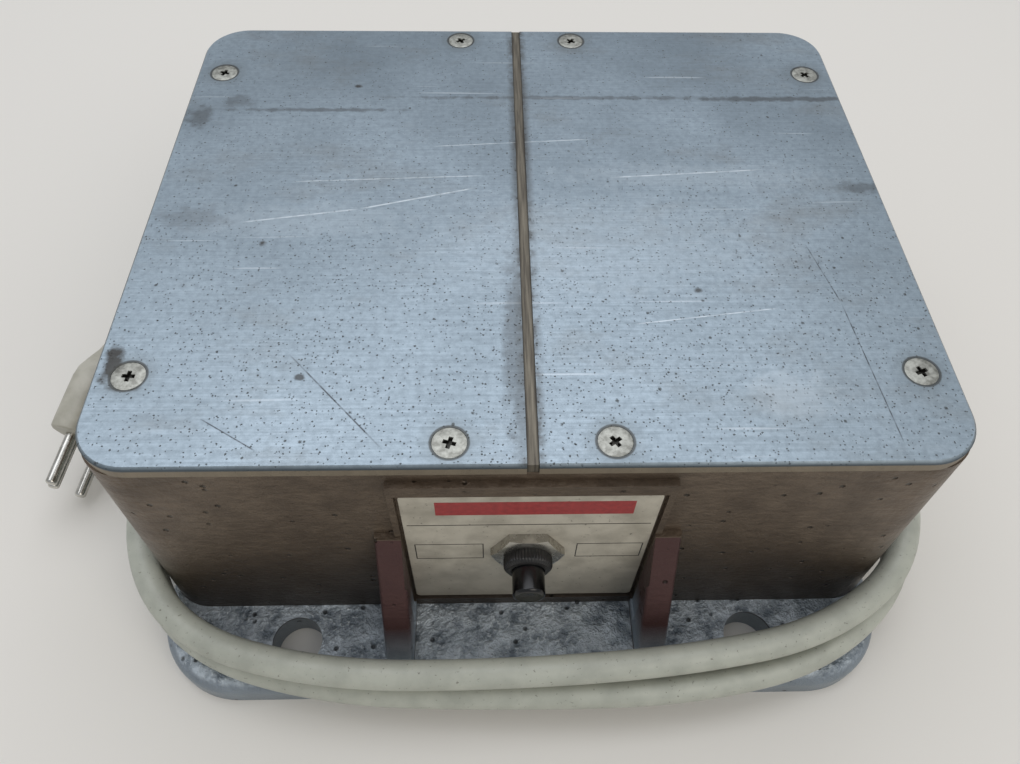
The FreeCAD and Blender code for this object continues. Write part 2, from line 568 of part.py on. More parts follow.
def pushButton():
    """The push button from its knurled ring nut to its contacts; it is pressed towards +Y."""
    axis = "button_height"
    sleeve = rod("sleeve", "bushing / 2", "bushing_end - switch_wall", ("0", "-bushing_end", axis), alongY)
    bore = rod("sleeve_bore", "bushing_bore / 2", "switch_case * 2",
               ("0", "-(label_face + switch_case)", axis), alongY)
    case = block("case_outer", "switch_case", "switch_case_length", "switch_case",
                 ("0", "-(switch_wall - switch_case_length / 2)", "%s - switch_case / 2" % axis))
    hollow = block("case_hollow", "case_inside", "case_cavity", "case_inside",
                   ("0", "-(switch_wall - case_front - case_cavity / 2)", "%s - case_inside / 2" % axis))
    slots = [block("terminal_slot_%s" % hand, "terminal_thickness", "2 * switch_case_wall + bite",
                   "terminal_width", ("%s terminal_x" % sign, "-(switch_wall - switch_case_length)",
                                      "%s - terminal_width / 2" % axis))
             for hand, sign in (("left", "-"), ("right", ""))]
    node(without("switch_body_cut", joined("switch_blank", [sleeve, case]), [bore, hollow] + slots),
         "switch_body")

    nutHole = through("hex_nut_hole", "bushing / 2", ("0", "0", axis), alongY)
    hexBlank = hexagon("hex_nut_blank", "hex_nut_flats", "hex_nut_thickness",
                       ("0", "-(label_face + hex_nut_thickness)", axis), alongY)
    node(without("hex_nut_cut", hexBlank, [nutHole]), "switch_hex_nut")

    ring = rod("ring_nut_blank", "ring_nut / 2", "ring_nut_length", ("0", "-ring_front", axis), alongY)
    ringHole = through("ring_nut_hole", "bushing / 2", ("0", "0", axis), alongY)
    grooves = doc.addObject("Part::Feature", "ring_nut_grooves_cut")
    groove, radius = size.ring_nut_groove, size.ring_nut / 2
    tools = []
    for index in range(int(size.ring_nut_grooves)):
        angle = 2 * math.pi * index / size.ring_nut_grooves
        centre = Vector(radius * math.cos(angle), -(size.ring_front + size.bite),
                        size.button_height + radius * math.sin(angle))
        tools.append(Part.makeCylinder(groove / 2, size.ring_nut_length + 2 * size.bite, centre,
                                       Vector(0, 1, 0)))
    grooves.Shape = Part.makeCompound(tools)
    node(without("ring_nut_cut", ring, [ringHole, grooves]), "switch_ring_nut")

    cap = rod("button_cap", "button / 2", "button_end - cap_back", ("0", "-button_end", axis), alongY)
    collar = rod("button_collar_disc", "button_collar / 2", "button_collar_length",
                 ("0", "-(cap_back + button_collar_length / 2)", axis), alongY)
    stem = rod("button_stem_rod", "button_stem / 2", "stem_length", ("0", "-(cap_back + bite)", axis), alongY)
    button = joined("button_solid", [cap, collar, stem])
    doc.recompute()
    dome = doc.addObject("Part::Fillet", "button_dome")
    dome.Base = button
    front = -size.button_end
    names = [index + 1 for index, edge in enumerate(button.Shape.Edges)
             if abs(edge.BoundBox.YMax - front) < 0.01]
    dome.Edges = [(index, size.button_dome, size.button_dome) for index in names]
    node(dome, "button_plunger")

    node(block("bridge", "contact_length", "contact_thickness", "terminal_width",
               ("0", "-(bridge_back + contact_thickness / 2)", "%s - terminal_width / 2" % axis)),
         "moving_contact")
    for hand, sign in (("left", "-"), ("right", "")):
        node(block("fixed_contact_" + hand, "terminal_thickness", "contact_front - contact_back",
                   "terminal_width - 2 * contact_play",
                   ("%s terminal_x" % sign, "-(contact_front + contact_back) / 2",
                    "%s - terminal_width / 2 + contact_play" % axis)), "fixed_contact_" + hand)

    turns, wireRadius = size.spring_turns, size.spring_wire / 2
    radius = size.button_stem / 2 + size.spring_play + wireRadius
    springStart = -(size.collar_back - size.spring_gap)
    length = size.spring_length
    helix = Part.makeHelix(length / turns, length, radius)
    ring = Part.Wire([Part.Circle(Vector(radius, 0, 0), Vector(0, 1, 0), wireRadius).toShape()])
    spring = Part.Wire(helix).makePipeShell([ring], True, True)
    item = doc.addObject("Part::Feature", "button_spring")
    item.Shape = spring
    item.Placement = Placement(Vector(0, springStart, size.button_height), alongY)
    node(item, "button_spring")


def core():
    """Yoke, two legs, coils on bobbins, clamps with bolts, and the bars that carry them."""
    node(without("yoke_cut",
                 block("yoke_blank", "yoke_length", "stack", "yoke_height", ("0", "0", "core_floor")),
                 [through("yoke_hole_%s" % hand, "core_bolt / 2 + screw_play",
                          ("%s core_bolt_spread / 2" % sign, "0", "core_floor + yoke_height / 2"), alongY)
                  for hand, sign in (("left", "-"), ("right", ""))]), "core_yoke")
    for hand, sign in (("left", "-"), ("right", "")):
        x = "%s leg_centre" % sign
        node(block("leg_" + hand, "leg_width", "stack", "rim_height - yoke_top", (x, "0", "yoke_top")),
             "core_leg_" + hand)
        barrel = block("bobbin_barrel_" + hand, "bobbin_width", "bobbin_depth", "bobbin_height",
                       (x, "0", "bobbin_floor"))
        ends = [block("bobbin_end_%s_%s" % (end, hand), "coil_width + 2 * bobbin_rim",
                      "coil_depth + 2 * bobbin_rim", "bobbin_flange", (x, "0", z))
                for end, z in (("low", "bobbin_floor"),
                               ("high", "bobbin_floor + bobbin_height - bobbin_flange"))]
        legHole = block("bobbin_hole_" + hand, "bobbin_hole_width", "bobbin_hole_depth", "cutter",
                        (x, "0", "0"))
        node(without("bobbin_cut_" + hand, joined("bobbin_blank_" + hand, [barrel] + ends), [legHole]),
             "bobbin_" + hand)
        copper = roundedBlock("winding_block_" + hand, x, "coil_width", "coil_depth")
        barrelHole = block("winding_hole_" + hand, "bobbin_width", "bobbin_depth", "cutter", (x, "0", "0"))
        node(without("winding_cut_" + hand, copper, [barrelHole]), "winding_" + hand)
        wrap = roundedBlock("tape_block_" + hand, x, "coil_width + 2 * tape", "coil_depth + 2 * tape")
        node(without("tape_cut_" + hand, wrap,
                     [roundedBlock("tape_hole_" + hand, x, "coil_width", "coil_depth")]),
             "coil_tape_" + hand)

    for end, side in (("front", -1), ("back", 1)):
        plate = block("clamp_plate_" + end, "yoke_length", "clamp", "yoke_height",
                      ("0", "%d * (stack / 2 + clamp / 2)" % side, "core_floor"))
        foot = block("clamp_foot_" + end, "yoke_length", "clamp_foot", "clamp",
                     ("0", "%d * (stack / 2 + clamp_foot / 2)" % side, "core_floor"))
        holes = [through("clamp_hole_%s_%s" % (end, hand), "core_bolt / 2 + screw_play",
                         ("%s core_bolt_spread / 2" % sign, "0", "core_floor + yoke_height / 2"), alongY)
                 for hand, sign in (("left", "-"), ("right", ""))]
        holes += [through("foot_hole_%s_%s" % (end, hand), "core_bolt / 2 + screw_play",
                          ("%s foot_bolt_spread / 2" % sign, "%d * foot_bolt_y" % side, "core_floor"))
                  for hand, sign in (("left", "-"), ("right", ""))]
        node(without("clamp_cut_" + end, joined("clamp_blank_" + end, [plate, foot]), holes),
             "core_clamp_" + end)
        bar = block("bar_blank_" + end, "bar_length", "bar_width", "bar_thickness",
                    ("0", "%d * foot_bolt_y" % side, "bar_floor"))
        barHoles = [through("bar_hole_%s_%d" % (end, index), "core_bolt / 2 + screw_play",
                            (x, "%d * foot_bolt_y" % side, "bar_floor"))
                    for index, x in enumerate(("-foot_bolt_spread / 2", "foot_bolt_spread / 2",
                                               "-(cavity_top_width / 2 - lug_reach / 2)",
                                               "cavity_top_width / 2 - lug_reach / 2"))]
        node(without("bar_cut_" + end, bar, barHoles), "support_bar_" + end)

    bolts, nuts, footBolts, footNuts, barBolts = [], [], [], [], []
    boltFace = "stack / 2 + clamp"
    for hand, sign in (("left", "-"), ("right", "")):
        x, z = "%s core_bolt_spread / 2" % sign, "core_floor + yoke_height / 2"
        shank = rod("core_bolt_shank_" + hand, "core_bolt / 2",
                    "stack + 2 * clamp + core_bolt_head_height + bolt_head_thin",
                    (x, "-(%s)" % boltFace, z), alongY)
        head = hexagon("core_bolt_head_" + hand, "core_bolt_head", "core_bolt_head_height",
                       (x, "-(%s + core_bolt_head_height)" % boltFace, z), alongY)
        bolts.append(joined("core_bolt_" + hand, [shank, head]))
        nuts.append(without("core_nut_" + hand,
                            hexagon("core_nut_blank_" + hand, "core_bolt_head", "core_bolt_head_height",
                                    (x, boltFace, z), alongY),
                            [through("core_nut_hole_" + hand, "core_bolt / 2", (x, "0", z), alongY)]))
        for end, side in (("front", "-"), ("back", "")):
            tag = "%s_%s" % (hand, end)
            x, y = "%s foot_bolt_spread / 2" % sign, "%s foot_bolt_y" % side
            top = "core_floor + clamp"
            footBolts.append(joined("foot_bolt_" + tag, [
                rod("foot_bolt_shank_" + tag, "core_bolt / 2",
                    "bar_thickness + clamp + core_bolt_head_height", (x, y, "bar_floor")),
                rod("foot_bolt_head_" + tag, "core_bolt_head / 2", "bolt_head_thin",
                    (x, y, "bar_floor - bolt_head_thin"))]))
            footNuts.append(without("foot_nut_" + tag,
                                    hexagon("foot_nut_blank_" + tag, "core_bolt_head",
                                            "core_bolt_head_height", (x, y, top)),
                                    [through("foot_nut_hole_" + tag, "core_bolt / 2", (x, y, top))]))
            x = "%s(cavity_top_width / 2 - lug_reach / 2)" % sign
            barBolts.append(joined("bar_bolt_" + tag, [
                rod("bar_bolt_shank_" + tag, "core_bolt / 2", "bar_thickness + lug_thread",
                    (x, y, "bar_floor")),
                rod("bar_bolt_head_" + tag, "core_bolt_head / 2", "bolt_head_thin",
                    (x, y, "bar_floor - bolt_head_thin"))]))
    node(gathered("core_bolt_set", bolts), "core_bolts")
    node(gathered("core_nut_set", nuts), "core_nuts")
    node(gathered("foot_bolt_set", footBolts), "clamp_bolts")
    node(gathered("foot_nut_set", footNuts), "clamp_nuts")
    node(gathered("bar_bolt_set", barBolts), "support_bar_bolts")
    node(block("cutout_block", "cutout_width", "cutout_depth", "cutout_height",
               ("-leg_centre", "-cutout_y", "coil_floor + cutout_rise")),
         "thermal_cutout")


def roundedBlock(name, x, width, depth):
    """A coil's outer shape: a block with rounded upright edges between the bobbin's flanges."""
    box = block(name + "_box", width, depth, "coil_height", (x, "0", "coil_floor"))
    doc.recompute()
    item = doc.addObject("Part::Fillet", name)
    item.Base = box
    radius = size.coil_corner
    item.Edges = [(index + 1, radius, radius) for index, edge in enumerate(box.Shape.Edges) if upright(edge)]
    return item


def terminals():
    """The terminal block, its screws and the earth lug, all on the pad inside the back wall."""
    z = "terminal_z"
    body = block("terminal_block_body", "block_width", "block_depth", "block_height",
                 ("block_x", "terminal_pad_face - block_depth / 2", "%s - block_height / 2" % z))
    ways, wayScrews = [], []
    for index, shift in enumerate(("- way_spacing", "", "+ way_spacing")):
        x = "block_x %s" % shift
        ways.append(through("way_%d" % index, "wire / 2 + 3 * screw_play",
                            (x, "terminal_pad_face - block_depth / 2", z)))
        for level, lift in (("low", "- way_screw_rise"), ("high", "+ way_screw_rise")):
            place = (x, "terminal_pad_face - block_depth - bite", "%s %s" % (z, lift))
            ways.append(rod("way_tap_%d_%s" % (index, level), "way_screw / 2", "way_tap_depth", place,
                            alongY))
            place = (x, "terminal_pad_face - block_depth + way_screw_sink", "%s %s" % (z, lift))
            wayScrews.append(rod("way_screw_%d_%s" % (index, level), "way_screw / 2 - screw_play",
                                 "way_screw_length", place, alongY))
    fixing, fixingHoles = [], []
    for index, x in enumerate(("block_x - block_width / 2 + block_hole",
                               "block_x + block_width / 2 - block_hole")):
        fixingHoles.append(through("block_hole_%d" % index, "block_hole / 2", (x, "0", z), alongY))
        fixing.append(joined("block_screw_%d" % index, [
            rod("block_screw_shank_%d" % index, "block_hole / 2 - screw_play",
                "block_depth + block_screw_bite", (x, "terminal_pad_face - block_depth", z), alongY),
            rod("block_screw_head_%d" % index, "block_hole * 0.85", "block_screw_head",
                (x, "terminal_pad_face - block_depth - block_screw_head", z), alongY)]))
    node(without("terminal_block_cut", body, ways + fixingHoles), "terminal_block")
    node(gathered("way_screw_set", wayScrews), "terminal_screws")
    node(gathered("block_screw_set", fixing), "terminal_block_screws")
    lug = joined("lug_blank", [
        rod("lug_eye", "earth_lug / 2", "earth_lug_thickness",
            ("earth_x", "terminal_pad_face - earth_lug_thickness", z), alongY),
        block("lug_tail", "lug_tail_width", "earth_lug_thickness", "lug_tail",
              ("earth_x", "terminal_pad_face - earth_lug_thickness / 2", "%s - lug_tail_drop" % z))])
    node(without("lug_cut", lug, [through("lug_hole", "earth_screw / 2", ("earth_x", "0", z), alongY)]),
         "earth_lug")
    node(joined("earth_screw_solid", [
        rod("earth_screw_shank", "earth_screw / 2", "earth_screw_bite + earth_lug_thickness",
            ("earth_x", "terminal_pad_face - earth_lug_thickness", z), alongY),
        rod("earth_screw_head", "earth_screw * 0.9", "earth_screw_head",
            ("earth_x", "terminal_pad_face - earth_lug_thickness - earth_screw_head", z), alongY)]),
         "earth_screw")


def bottomCover():
    """Gasket, sheet cover and its screws in the underside's recess."""
    screws, coverHoles, gasketHoles = [], [], []
    for index, (x, y) in enumerate(mirroredPairs("cover_screw_x", "cover_screw_y")):
        coverHoles.append(through("cover_hole_%d" % index, "cover_screw / 2 + screw_play", (x, y, "0")))
        coverHoles.append(cone("cover_sink_%d" % index, "cover_screw_head / 2 + screw_play",
                               "cover_screw / 2 + screw_play", "(cover_screw_head - cover_screw) / 2",
                               (x, y, "cover_screw_depth")))
        coverHoles.append(rod("cover_counterbore_%d" % index, "cover_screw_head / 2 + screw_play",
                              "cover_screw_depth + bite", (x, y, "-bite")))
        gasketHoles.append(through("gasket_hole_%d" % index, "cover_screw / 2 + screw_play", (x, y, "0")))
        screws.append(joined("cover_screw_%d" % index, [
            rod("cover_screw_shank_%d" % index, "cover_screw / 2", "cover_screw_length - cover_screw_depth",
                (x, y, "cover_screw_depth")),
            cone("cover_screw_head_%d" % index, "cover_screw_head / 2", "cover_screw / 2",
                 "(cover_screw_head - cover_screw) / 2", (x, y, "cover_screw_depth"))]))
    sheetBlank = block("cover_blank", "cover_width", "cover_depth", "cover", ("0", "0", "0"))
    node(without("cover_cut", sheetBlank, coverHoles), "bottom_cover")
    gasketBlank = block("gasket_blank", "cover_width", "cover_depth", "gasket", ("0", "0", "cover"))
    window = without("gasket_window",
                     block("gasket_window_box", "cavity_foot_width - 2 * gasket_rim",
                           "cavity_foot_depth - 2 * gasket_rim", "cover_seat + bite", ("0", "0", "0")),
                     [through("gasket_pad_%d" % index, "cover_post / 2 + bite", (x, y, "0"))
                      for index, (x, y) in enumerate(mirroredPairs("cover_screw_x", "cover_screw_y"))])
    node(without("gasket_cut", gasketBlank, [window] + gasketHoles), "bottom_gasket")
    node(gathered("cover_screw_set", screws), "bottom_screws")


def cableGland():
    """Gland body, locknut, seal and cap in the back wall, and the tapered sleeve on the cord."""
    x, z = "gland_x", "gland_height"
    hexPart = hexagon("gland_hex_part", "gland_flats", "gland_hex", (x, "gland_shoulder", z), alongY)
    thread = rod("gland_thread_part", "gland_thread / 2",
                 "gland_shoulder - gland_wall_inside + gland_nut + gland_thread_end",
                 (x, "gland_wall_inside - gland_nut - gland_thread_end", z), alongY)
    bore = through("gland_bore", "cord / 2 + seal_wall", (x, "gland_shoulder", z), alongY)
    node(without("gland_body_cut", joined("gland_blank", [hexPart, thread]), [bore]), "gland_body")
    node(without("gland_nut_cut",
                 hexagon("gland_nut_blank", "gland_flats", "gland_nut",
                         (x, "gland_wall_inside - gland_nut - gland_nut_gap", z), alongY),
                 [through("gland_nut_hole", "gland_thread / 2", (x, "gland_shoulder", z), alongY)]),
         "gland_locknut")
    node(without("seal_cut",
                 rod("seal_blank", "cord / 2 + seal_wall", "gland_hex + seal_bury",
                     (x, "gland_shoulder - seal_bury", z), alongY),
                 [through("seal_bore", "cord / 2", (x, "gland_shoulder", z), alongY)]),
         "gland_seal")
    cap = joined("gland_cap_blank", [
        hexagon("gland_cap_hex", "gland_cap_width", "gland_cap * 0.6",
                (x, "gland_shoulder + gland_hex", z), alongY),
        cone("gland_cap_dome", "gland_cap_width / 2", "relief_root / 2 + gland_cap_lip", "gland_cap",
             (x, "gland_shoulder + gland_hex", z), alongY)])
    node(without("gland_cap_cut", cap,
                 [through("gland_cap_bore", "cord / 2", (x, "gland_shoulder", z), alongY)]),
         "gland_cap")
    node(without("relief_cut",
                 cone("relief_blank", "relief_root / 2", "relief_tip / 2", "relief_length",
                      (x, "gland_end", z), alongY),
                 [through("relief_bore", "cord / 2", (x, "gland_shoulder", z), alongY)]),
         "cord_relief")
    node(rod("cord_inner", "cord / 2", "relief_end - cord_inner_end", (x, "cord_inner_end", z), alongY),
         "cord_in_gland")


cordRoute = [
    (size.gland_x, size.relief_end, size.gland_height), (0, 162, 25), (-11, 186, 20.5),
    (-33, 200, 13.5), (-62, 204, 7), (-98, 193, 5.5), (-127, 167, 7), (-141, 130, 10.5),
    (-141, 88, 16.5), (-135.5, 46, 19), (-128, 2, 20.5), (-128.5, -42, 19), (-129.5, -85.5, 16.5),
    (-107, -116, 15.8), (-62, -129.3, 16), (-6, -131.6, 16.5), (52, -131.2, 17), (99, -121, 18),
    (131, -91, 20.5), (132.5, -42, 24), (126.8, 15, 28), (128, 72, 31), (117, 116, 34),
    (80, 137, 38), (18, 140, 42), (-40, 138, 43), (-88, 131, 42), (-121, 106, 40.5),
    (-129, 60, 39.5), (-126.5, 5, 38), (-126.8, -40, 34), (-128.6, -84.5, 29),
    (-107.2, -115.7, 27), (-61, -127.7, 26.5), (-8, -128.3, 27), (48, -125.4, 28),
    (95, -117.4, 29.5), (128.2, -92.6, 32), (132, -45, 35), (126, 12, 39), (127.5, 70, 43),
    (116, 114, 48), (78, 138, 52), (16, 142, 53), (-44, 143, 51.8), (-92, 139.6, 51.5),
    (-128.5, 119, 51.5), (-139.5, 83, 48.2), (-139.8, 47.2, 41.6), (-146.5, 19, 34.1),
]


def plug():
    """A flat three-pin plug that stands on its narrow edge, its pins towards the front."""
    tail = Vector(*cordRoute[-1])
    pins = tail - Vector(*cordRoute[-2])
    pins.normalize()
    upward = Vector(0, 0, 1)
    upward = upward - pins * upward.dot(pins)
    upward.normalize()
    sideways = pins.cross(upward)
    depth = size.plug_length + size.plug_shoulder + size.plug_relief
    face = tail + pins * depth
    turn = Placement(FreeCAD.Matrix(upward.x, sideways.x, pins.x, face.x,
                                    upward.y, sideways.y, pins.y, face.y,
                                    upward.z, sideways.z, pins.z, face.z, 0, 0, 0, 1))
    print("plug face at %s" % face)
    halfWidth, halfDepth = size.plug_width / 2, size.plug_depth / 2

    def section(width, thickness, z):
        """A flat hexagon across the plug at a depth below its face."""
        flat = width - thickness
        points = [Vector(-width, 0, z), Vector(-flat, -thickness, z), Vector(flat, -thickness, z),
                  Vector(width, 0, z), Vector(flat, thickness, z), Vector(-flat, thickness, z)]
        return Part.makePolygon(points + points[:1])

    front = Part.makeLoft([section(halfWidth, halfDepth, -size.plug_length),
                           section(halfWidth, halfDepth, 0)], True, True)
    neck = size.plug_neck / 2
    shoulder = Part.makeLoft([section(neck + 2, neck, -size.plug_length - size.plug_shoulder),
                              section(halfWidth, halfDepth, -size.plug_length)], True, True)
    body = front.fuse(shoulder).removeSplitter()
    edges = [edge for edge in body.Edges if edge.BoundBox.ZLength > 5]
    body = body.makeFillet(size.plug_edge, edges)
    pinPlaces = [(size.pin_spacing / 2, 0), (-size.pin_spacing / 2, 0), (0, size.earth_pin_offset)]
    pinShapes = []
    for x, y in pinPlaces:
        pin = Part.makeCylinder(size.pin / 2, size.pin_length + size.pin_root, Vector(x, y, -size.pin_root))
        ends = [edge for edge in pin.Edges if edge.BoundBox.ZMin > size.pin_length - 0.01]
        pinShapes.append(pin.makeFillet(size.pin_round, ends))
    for pin in pinShapes:
        body = body.cut(pin)
    end = -size.plug_length - size.plug_shoulder
    relief = Part.makeCone(size.cord / 2 + size.plug_lip, neck - size.plug_lip, size.plug_relief,
                           Vector(0, 0, end - size.plug_relief))
    for label, shape in (("plug_body", body), ("plug_pins", Part.makeCompound(pinShapes)),
                         ("plug_relief", relief)):
        item = doc.addObject("Part::Feature", label)
        item.Shape = shape
        item.Placement = turn
        node(item, label)


def wiring():
    """The single leads inside the box, each along its own short route."""
    inner, cordX, cordZ = size.cord_inner_end, size.gland_x, size.gland_height
    blockLow = size.terminal_z - size.block_height / 2
    blockHigh = size.terminal_z + size.block_height / 2
    blockY = size.terminal_pad_face - size.block_depth / 2
    live, neutral = size.block_x + size.way_spacing, size.block_x
    axis, contactX, contactY = size.button_height, size.terminal_x, -size.contact_back
    overYoke = max(axis + 3, size.yoke_top + 2 * size.wire)
    tapeY = size.coil_depth / 2 + size.tape
    linkZ = size.coil_floor + size.coil_height - 9
    cutY, cutZ = -size.cutout_y, size.coil_floor + size.cutout_rise + size.cutout_height / 2
    cutRight = -size.leg_centre + size.cutout_width / 2
    cutLeft = -size.leg_centre - size.cutout_width / 2
    lugY = size.terminal_pad_face - size.earth_lug_thickness - size.wire / 2
    routes = {
        "wire_live_in": [
            (cordX + 1.6, inner, cordZ + 1.2), (cordX + 1.6, inner - 6, cordZ + 1.5),
            (live, inner - 8, cordZ + 8), (live, blockY, blockLow - 6), (live, blockY, blockLow)],
        "wire_neutral_in": [
            (cordX - 1.6, inner, cordZ + 1.2), (cordX - 1.8, inner - 8, cordZ + 1.5),
            (-6, inner - 11, cordZ + 8), (neutral, blockY, blockLow - 7), (neutral, blockY, blockLow)],
        "wire_earth": [
            (cordX, inner, cordZ - 2.2), (cordX + 1, inner - 8, cordZ - 2.5),
            (cordX + 12, inner - 12, cordZ + 1), (size.earth_x - 1, inner - 6, cordZ + 7),
            (size.earth_x, lugY - 1.5, cordZ + 9.5), (size.earth_x, lugY, size.terminal_z - 8)],
        "wire_to_switch": [
            (live, blockY, blockHigh), (live, blockY, blockHigh + 9), (4.5, blockY - 22, blockHigh + 8),
            (5.5, 20, overYoke + 4), (5, -20, overYoke), (contactX, contactY + 16, axis),
            (contactX, contactY, axis)],
        "wire_to_cutout": [
            (-contactX, contactY, axis), (-contactX, contactY + 7.5, axis),
            (-contactX - 1, contactY + 9, axis + 9), (-9.5, cutY - 0.7, cutZ - 0.5),
            (-22, cutY, cutZ), (cutRight, cutY, cutZ)],
        "wire_cutout_to_coil": [
            (cutLeft, cutY, cutZ), (cutLeft - 5, cutY, cutZ), (cutLeft - 9, cutY - 1.5, cutZ - 4),
            (cutLeft - 9, cutY, cutZ - 9), (cutLeft - 9, -tapeY, cutZ - 10)],
        "wire_coil_link": [
            (-20, tapeY, linkZ), (-20, tapeY + 6, linkZ), (-8, tapeY + 9, linkZ + 1),
            (8, tapeY + 9, linkZ + 1), (20, tapeY + 6, linkZ), (20, tapeY, linkZ)],
        "wire_coil_return": [
            (26, tapeY, linkZ - 8), (26, tapeY + 8, linkZ - 8), (14, blockY - 2, linkZ - 7.5),
            (neutral + 5, blockY, linkZ - 9),
            (neutral, blockY, blockHigh + 8), (neutral, blockY, blockHigh)],
    }
    for label, points in routes.items():
        tube(label, points, size.wire)


def build():
    castHousing()
    polePlate("left", -1)
    polePlate("right", 1)
    node(block("gap_strip_bar", "gap_width", "body_depth - 2 * gap_strip_end",
               "plate_thickness - gap_strip_drop", ("0", "0", "rim_height")), "gap_strip")
    plateScrews()
    ratingPlate()
    pushButton()
    core()
    terminals()
    wiring()
    bottomCover()
    cableGland()
    tube("cord", cordRoute, size.cord)
    plug()


def export():
    doc.recompute()
    for item in doc.Objects:
        for fault in ("Invalid", "Error"):
            if fault in item.State:
                raise RuntimeError("%s did not build: %s" % (item.Label, item.State))
    for item in finished:
        if item.Shape.isNull() or not item.Shape.isValid() or not item.Shape.Solids:
            raise RuntimeError("%s has no valid shape" % item.Label)
    os.makedirs("parts", exist_ok=True)
    for item in finished:
        item.Shape.exportStep(os.path.join("parts", item.Label + ".step"))
    print("%d sub-parts written" % len(finished))


build()
export()
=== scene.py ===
import math

import bmesh
import bpy
from mathutils import Matrix, Vector


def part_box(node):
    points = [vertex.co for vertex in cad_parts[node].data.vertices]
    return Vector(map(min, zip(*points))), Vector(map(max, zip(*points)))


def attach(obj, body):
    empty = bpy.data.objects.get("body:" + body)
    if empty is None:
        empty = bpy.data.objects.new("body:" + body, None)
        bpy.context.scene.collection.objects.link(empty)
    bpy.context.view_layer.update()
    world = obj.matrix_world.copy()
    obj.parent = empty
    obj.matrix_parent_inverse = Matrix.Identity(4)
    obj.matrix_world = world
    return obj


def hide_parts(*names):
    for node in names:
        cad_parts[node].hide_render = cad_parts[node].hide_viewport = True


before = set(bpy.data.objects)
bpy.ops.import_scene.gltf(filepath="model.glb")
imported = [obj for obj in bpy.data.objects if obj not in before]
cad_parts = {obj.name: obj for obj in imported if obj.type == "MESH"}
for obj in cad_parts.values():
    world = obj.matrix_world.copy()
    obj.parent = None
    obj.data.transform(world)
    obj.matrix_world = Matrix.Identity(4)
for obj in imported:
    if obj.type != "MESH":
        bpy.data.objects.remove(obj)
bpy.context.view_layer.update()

mm = 0.001
body = "housing"


# helpers

def linear(code, alpha=1.0):
    # sRGB hex to Blender's linear colour
    parts = [int(code[index:index + 2], 16) / 255 for index in (1, 3, 5)]
    return [part / 12.92 if part <= 0.04045 else ((part + 0.055) / 1.055) ** 2.4 for part in parts] + [alpha]


def feed(tree, socket, value):
    # links a socket or sets its value; a hex string is a colour, and None leaves it as it is
    if isinstance(value, bpy.types.NodeSocket):
        tree.links.new(value, socket)
    elif value is not None:
        socket.default_value = linear(value) if isinstance(value, str) else value


def add(tree, kind, *values, named=None, **settings):
    # one node with its settings; values feed its inputs in order, and its first output comes back
    node = tree.nodes.new(kind if "Node" in kind else "ShaderNode" + kind)
    for name, value in settings.items():
        setattr(node, name, value)
    for socket, value in zip([socket for socket in node.inputs if socket.enabled], values):
        feed(tree, socket, value)
    for name, value in (named or {}).items():
        feed(tree, node.inputs[name], value)
    return next((socket for socket in node.outputs if socket.enabled), None)


def newMaterial(name):
    material = bpy.data.materials.new(name)
    material.use_nodes = True
    tree = material.node_tree
    tree.nodes.clear()
    place = add(tree, "TexCoord").node.outputs["Object"]
    return material, tree, place


def perMetre(size):
    # texture scale whose features are about this many millimetres
    return 1 / (size * mm)


def layered(tree, tone, layers):
    # colours laid over a tone, each from where its source has one level to where it has another
    for source, low, high, most, colour in layers:
        mask = add(tree, "MapRange", source, low, high, 0, most)
        tone = add(tree, "Mix", mask, tone, colour, data_type="RGBA")
    return tone


def finishMaterial(tree, height, depth, **values):
    # the surface, with a bump whose strongest step is this many millimetres
    values["Normal"] = add(tree, "Bump", 1.0, depth * mm, None, height)
    add(tree, "OutputMaterial", add(tree, "BsdfPrincipled", named=values))


def meshPiece(name, mesh, material, rides=body, smooth=False):
    piece = bpy.data.objects.new(name, mesh)
    bpy.context.scene.collection.objects.link(piece)
    if material is not None:
        mesh.materials.clear()
        mesh.materials.append(material)
    for face in mesh.polygons:
        face.use_smooth = smooth
    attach(piece, rides)
    return piece


def plainMesh(piece, name):
    # the evaluated result of a piece's modifiers as a mesh of its own
    bpy.context.view_layer.update()
    graph = bpy.context.evaluated_depsgraph_get()
    mesh = bpy.data.meshes.new_from_object(piece.evaluated_get(graph))
    mesh.name = name
    return mesh


def scratchObject(name, mesh):
    item = bpy.data.objects.new(name, mesh)
    bpy.context.scene.collection.objects.link(item)
    return item


def dropObject(item):
    bpy.data.objects.remove(item, do_unlink=True)


def lathe(name, profile, segments):
    # a closed turned form; profile is (distance along the axis, radius), the axis is Y
    shape = bmesh.new()
    rings = []
    for along, radius in profile:
        if radius <= 0:
            rings.append([shape.verts.new((0, along, 0))])
            continue
        rings.append([shape.verts.new((radius * math.cos(math.tau * step / segments), along,
                                       radius * math.sin(math.tau * step / segments)))
                      for step in range(segments)])
    for first, second in zip(rings, rings[1:]):
        for step in range(segments):
            after = (step + 1) % segments
            corners = [first[step % len(first)], first[after % len(first)],
                       second[after % len(second)], second[step % len(second)]]
            unique = list(dict.fromkeys(corners))
            if len(unique) > 2:
                shape.faces.new(unique)
    bmesh.ops.recalc_face_normals(shape, faces=shape.faces)
    mesh = bpy.data.meshes.new(name)
    shape.to_mesh(mesh)
    shape.free()
    return mesh


def smoothByAngle(mesh, degrees):
    # smooth faces with sharp edges kept where they meet at more than an angle
    for face in mesh.polygons:
        face.use_smooth = True
    shape = bmesh.new()
    shape.from_mesh(mesh)
    for edge in shape.edges:
        edge.smooth = len(edge.link_faces) == 2 and edge.calc_face_angle(0) < math.radians(degrees)
    shape.to_mesh(mesh)
    shape.free()


# camera

cameraSettings = {"place": (-0.01083, -0.19874, 0.27621), "pitch": 54.24, "yaw": -2.44, "roll": 1.63,
                  "lens": 28.46, "sensor": 36.0}


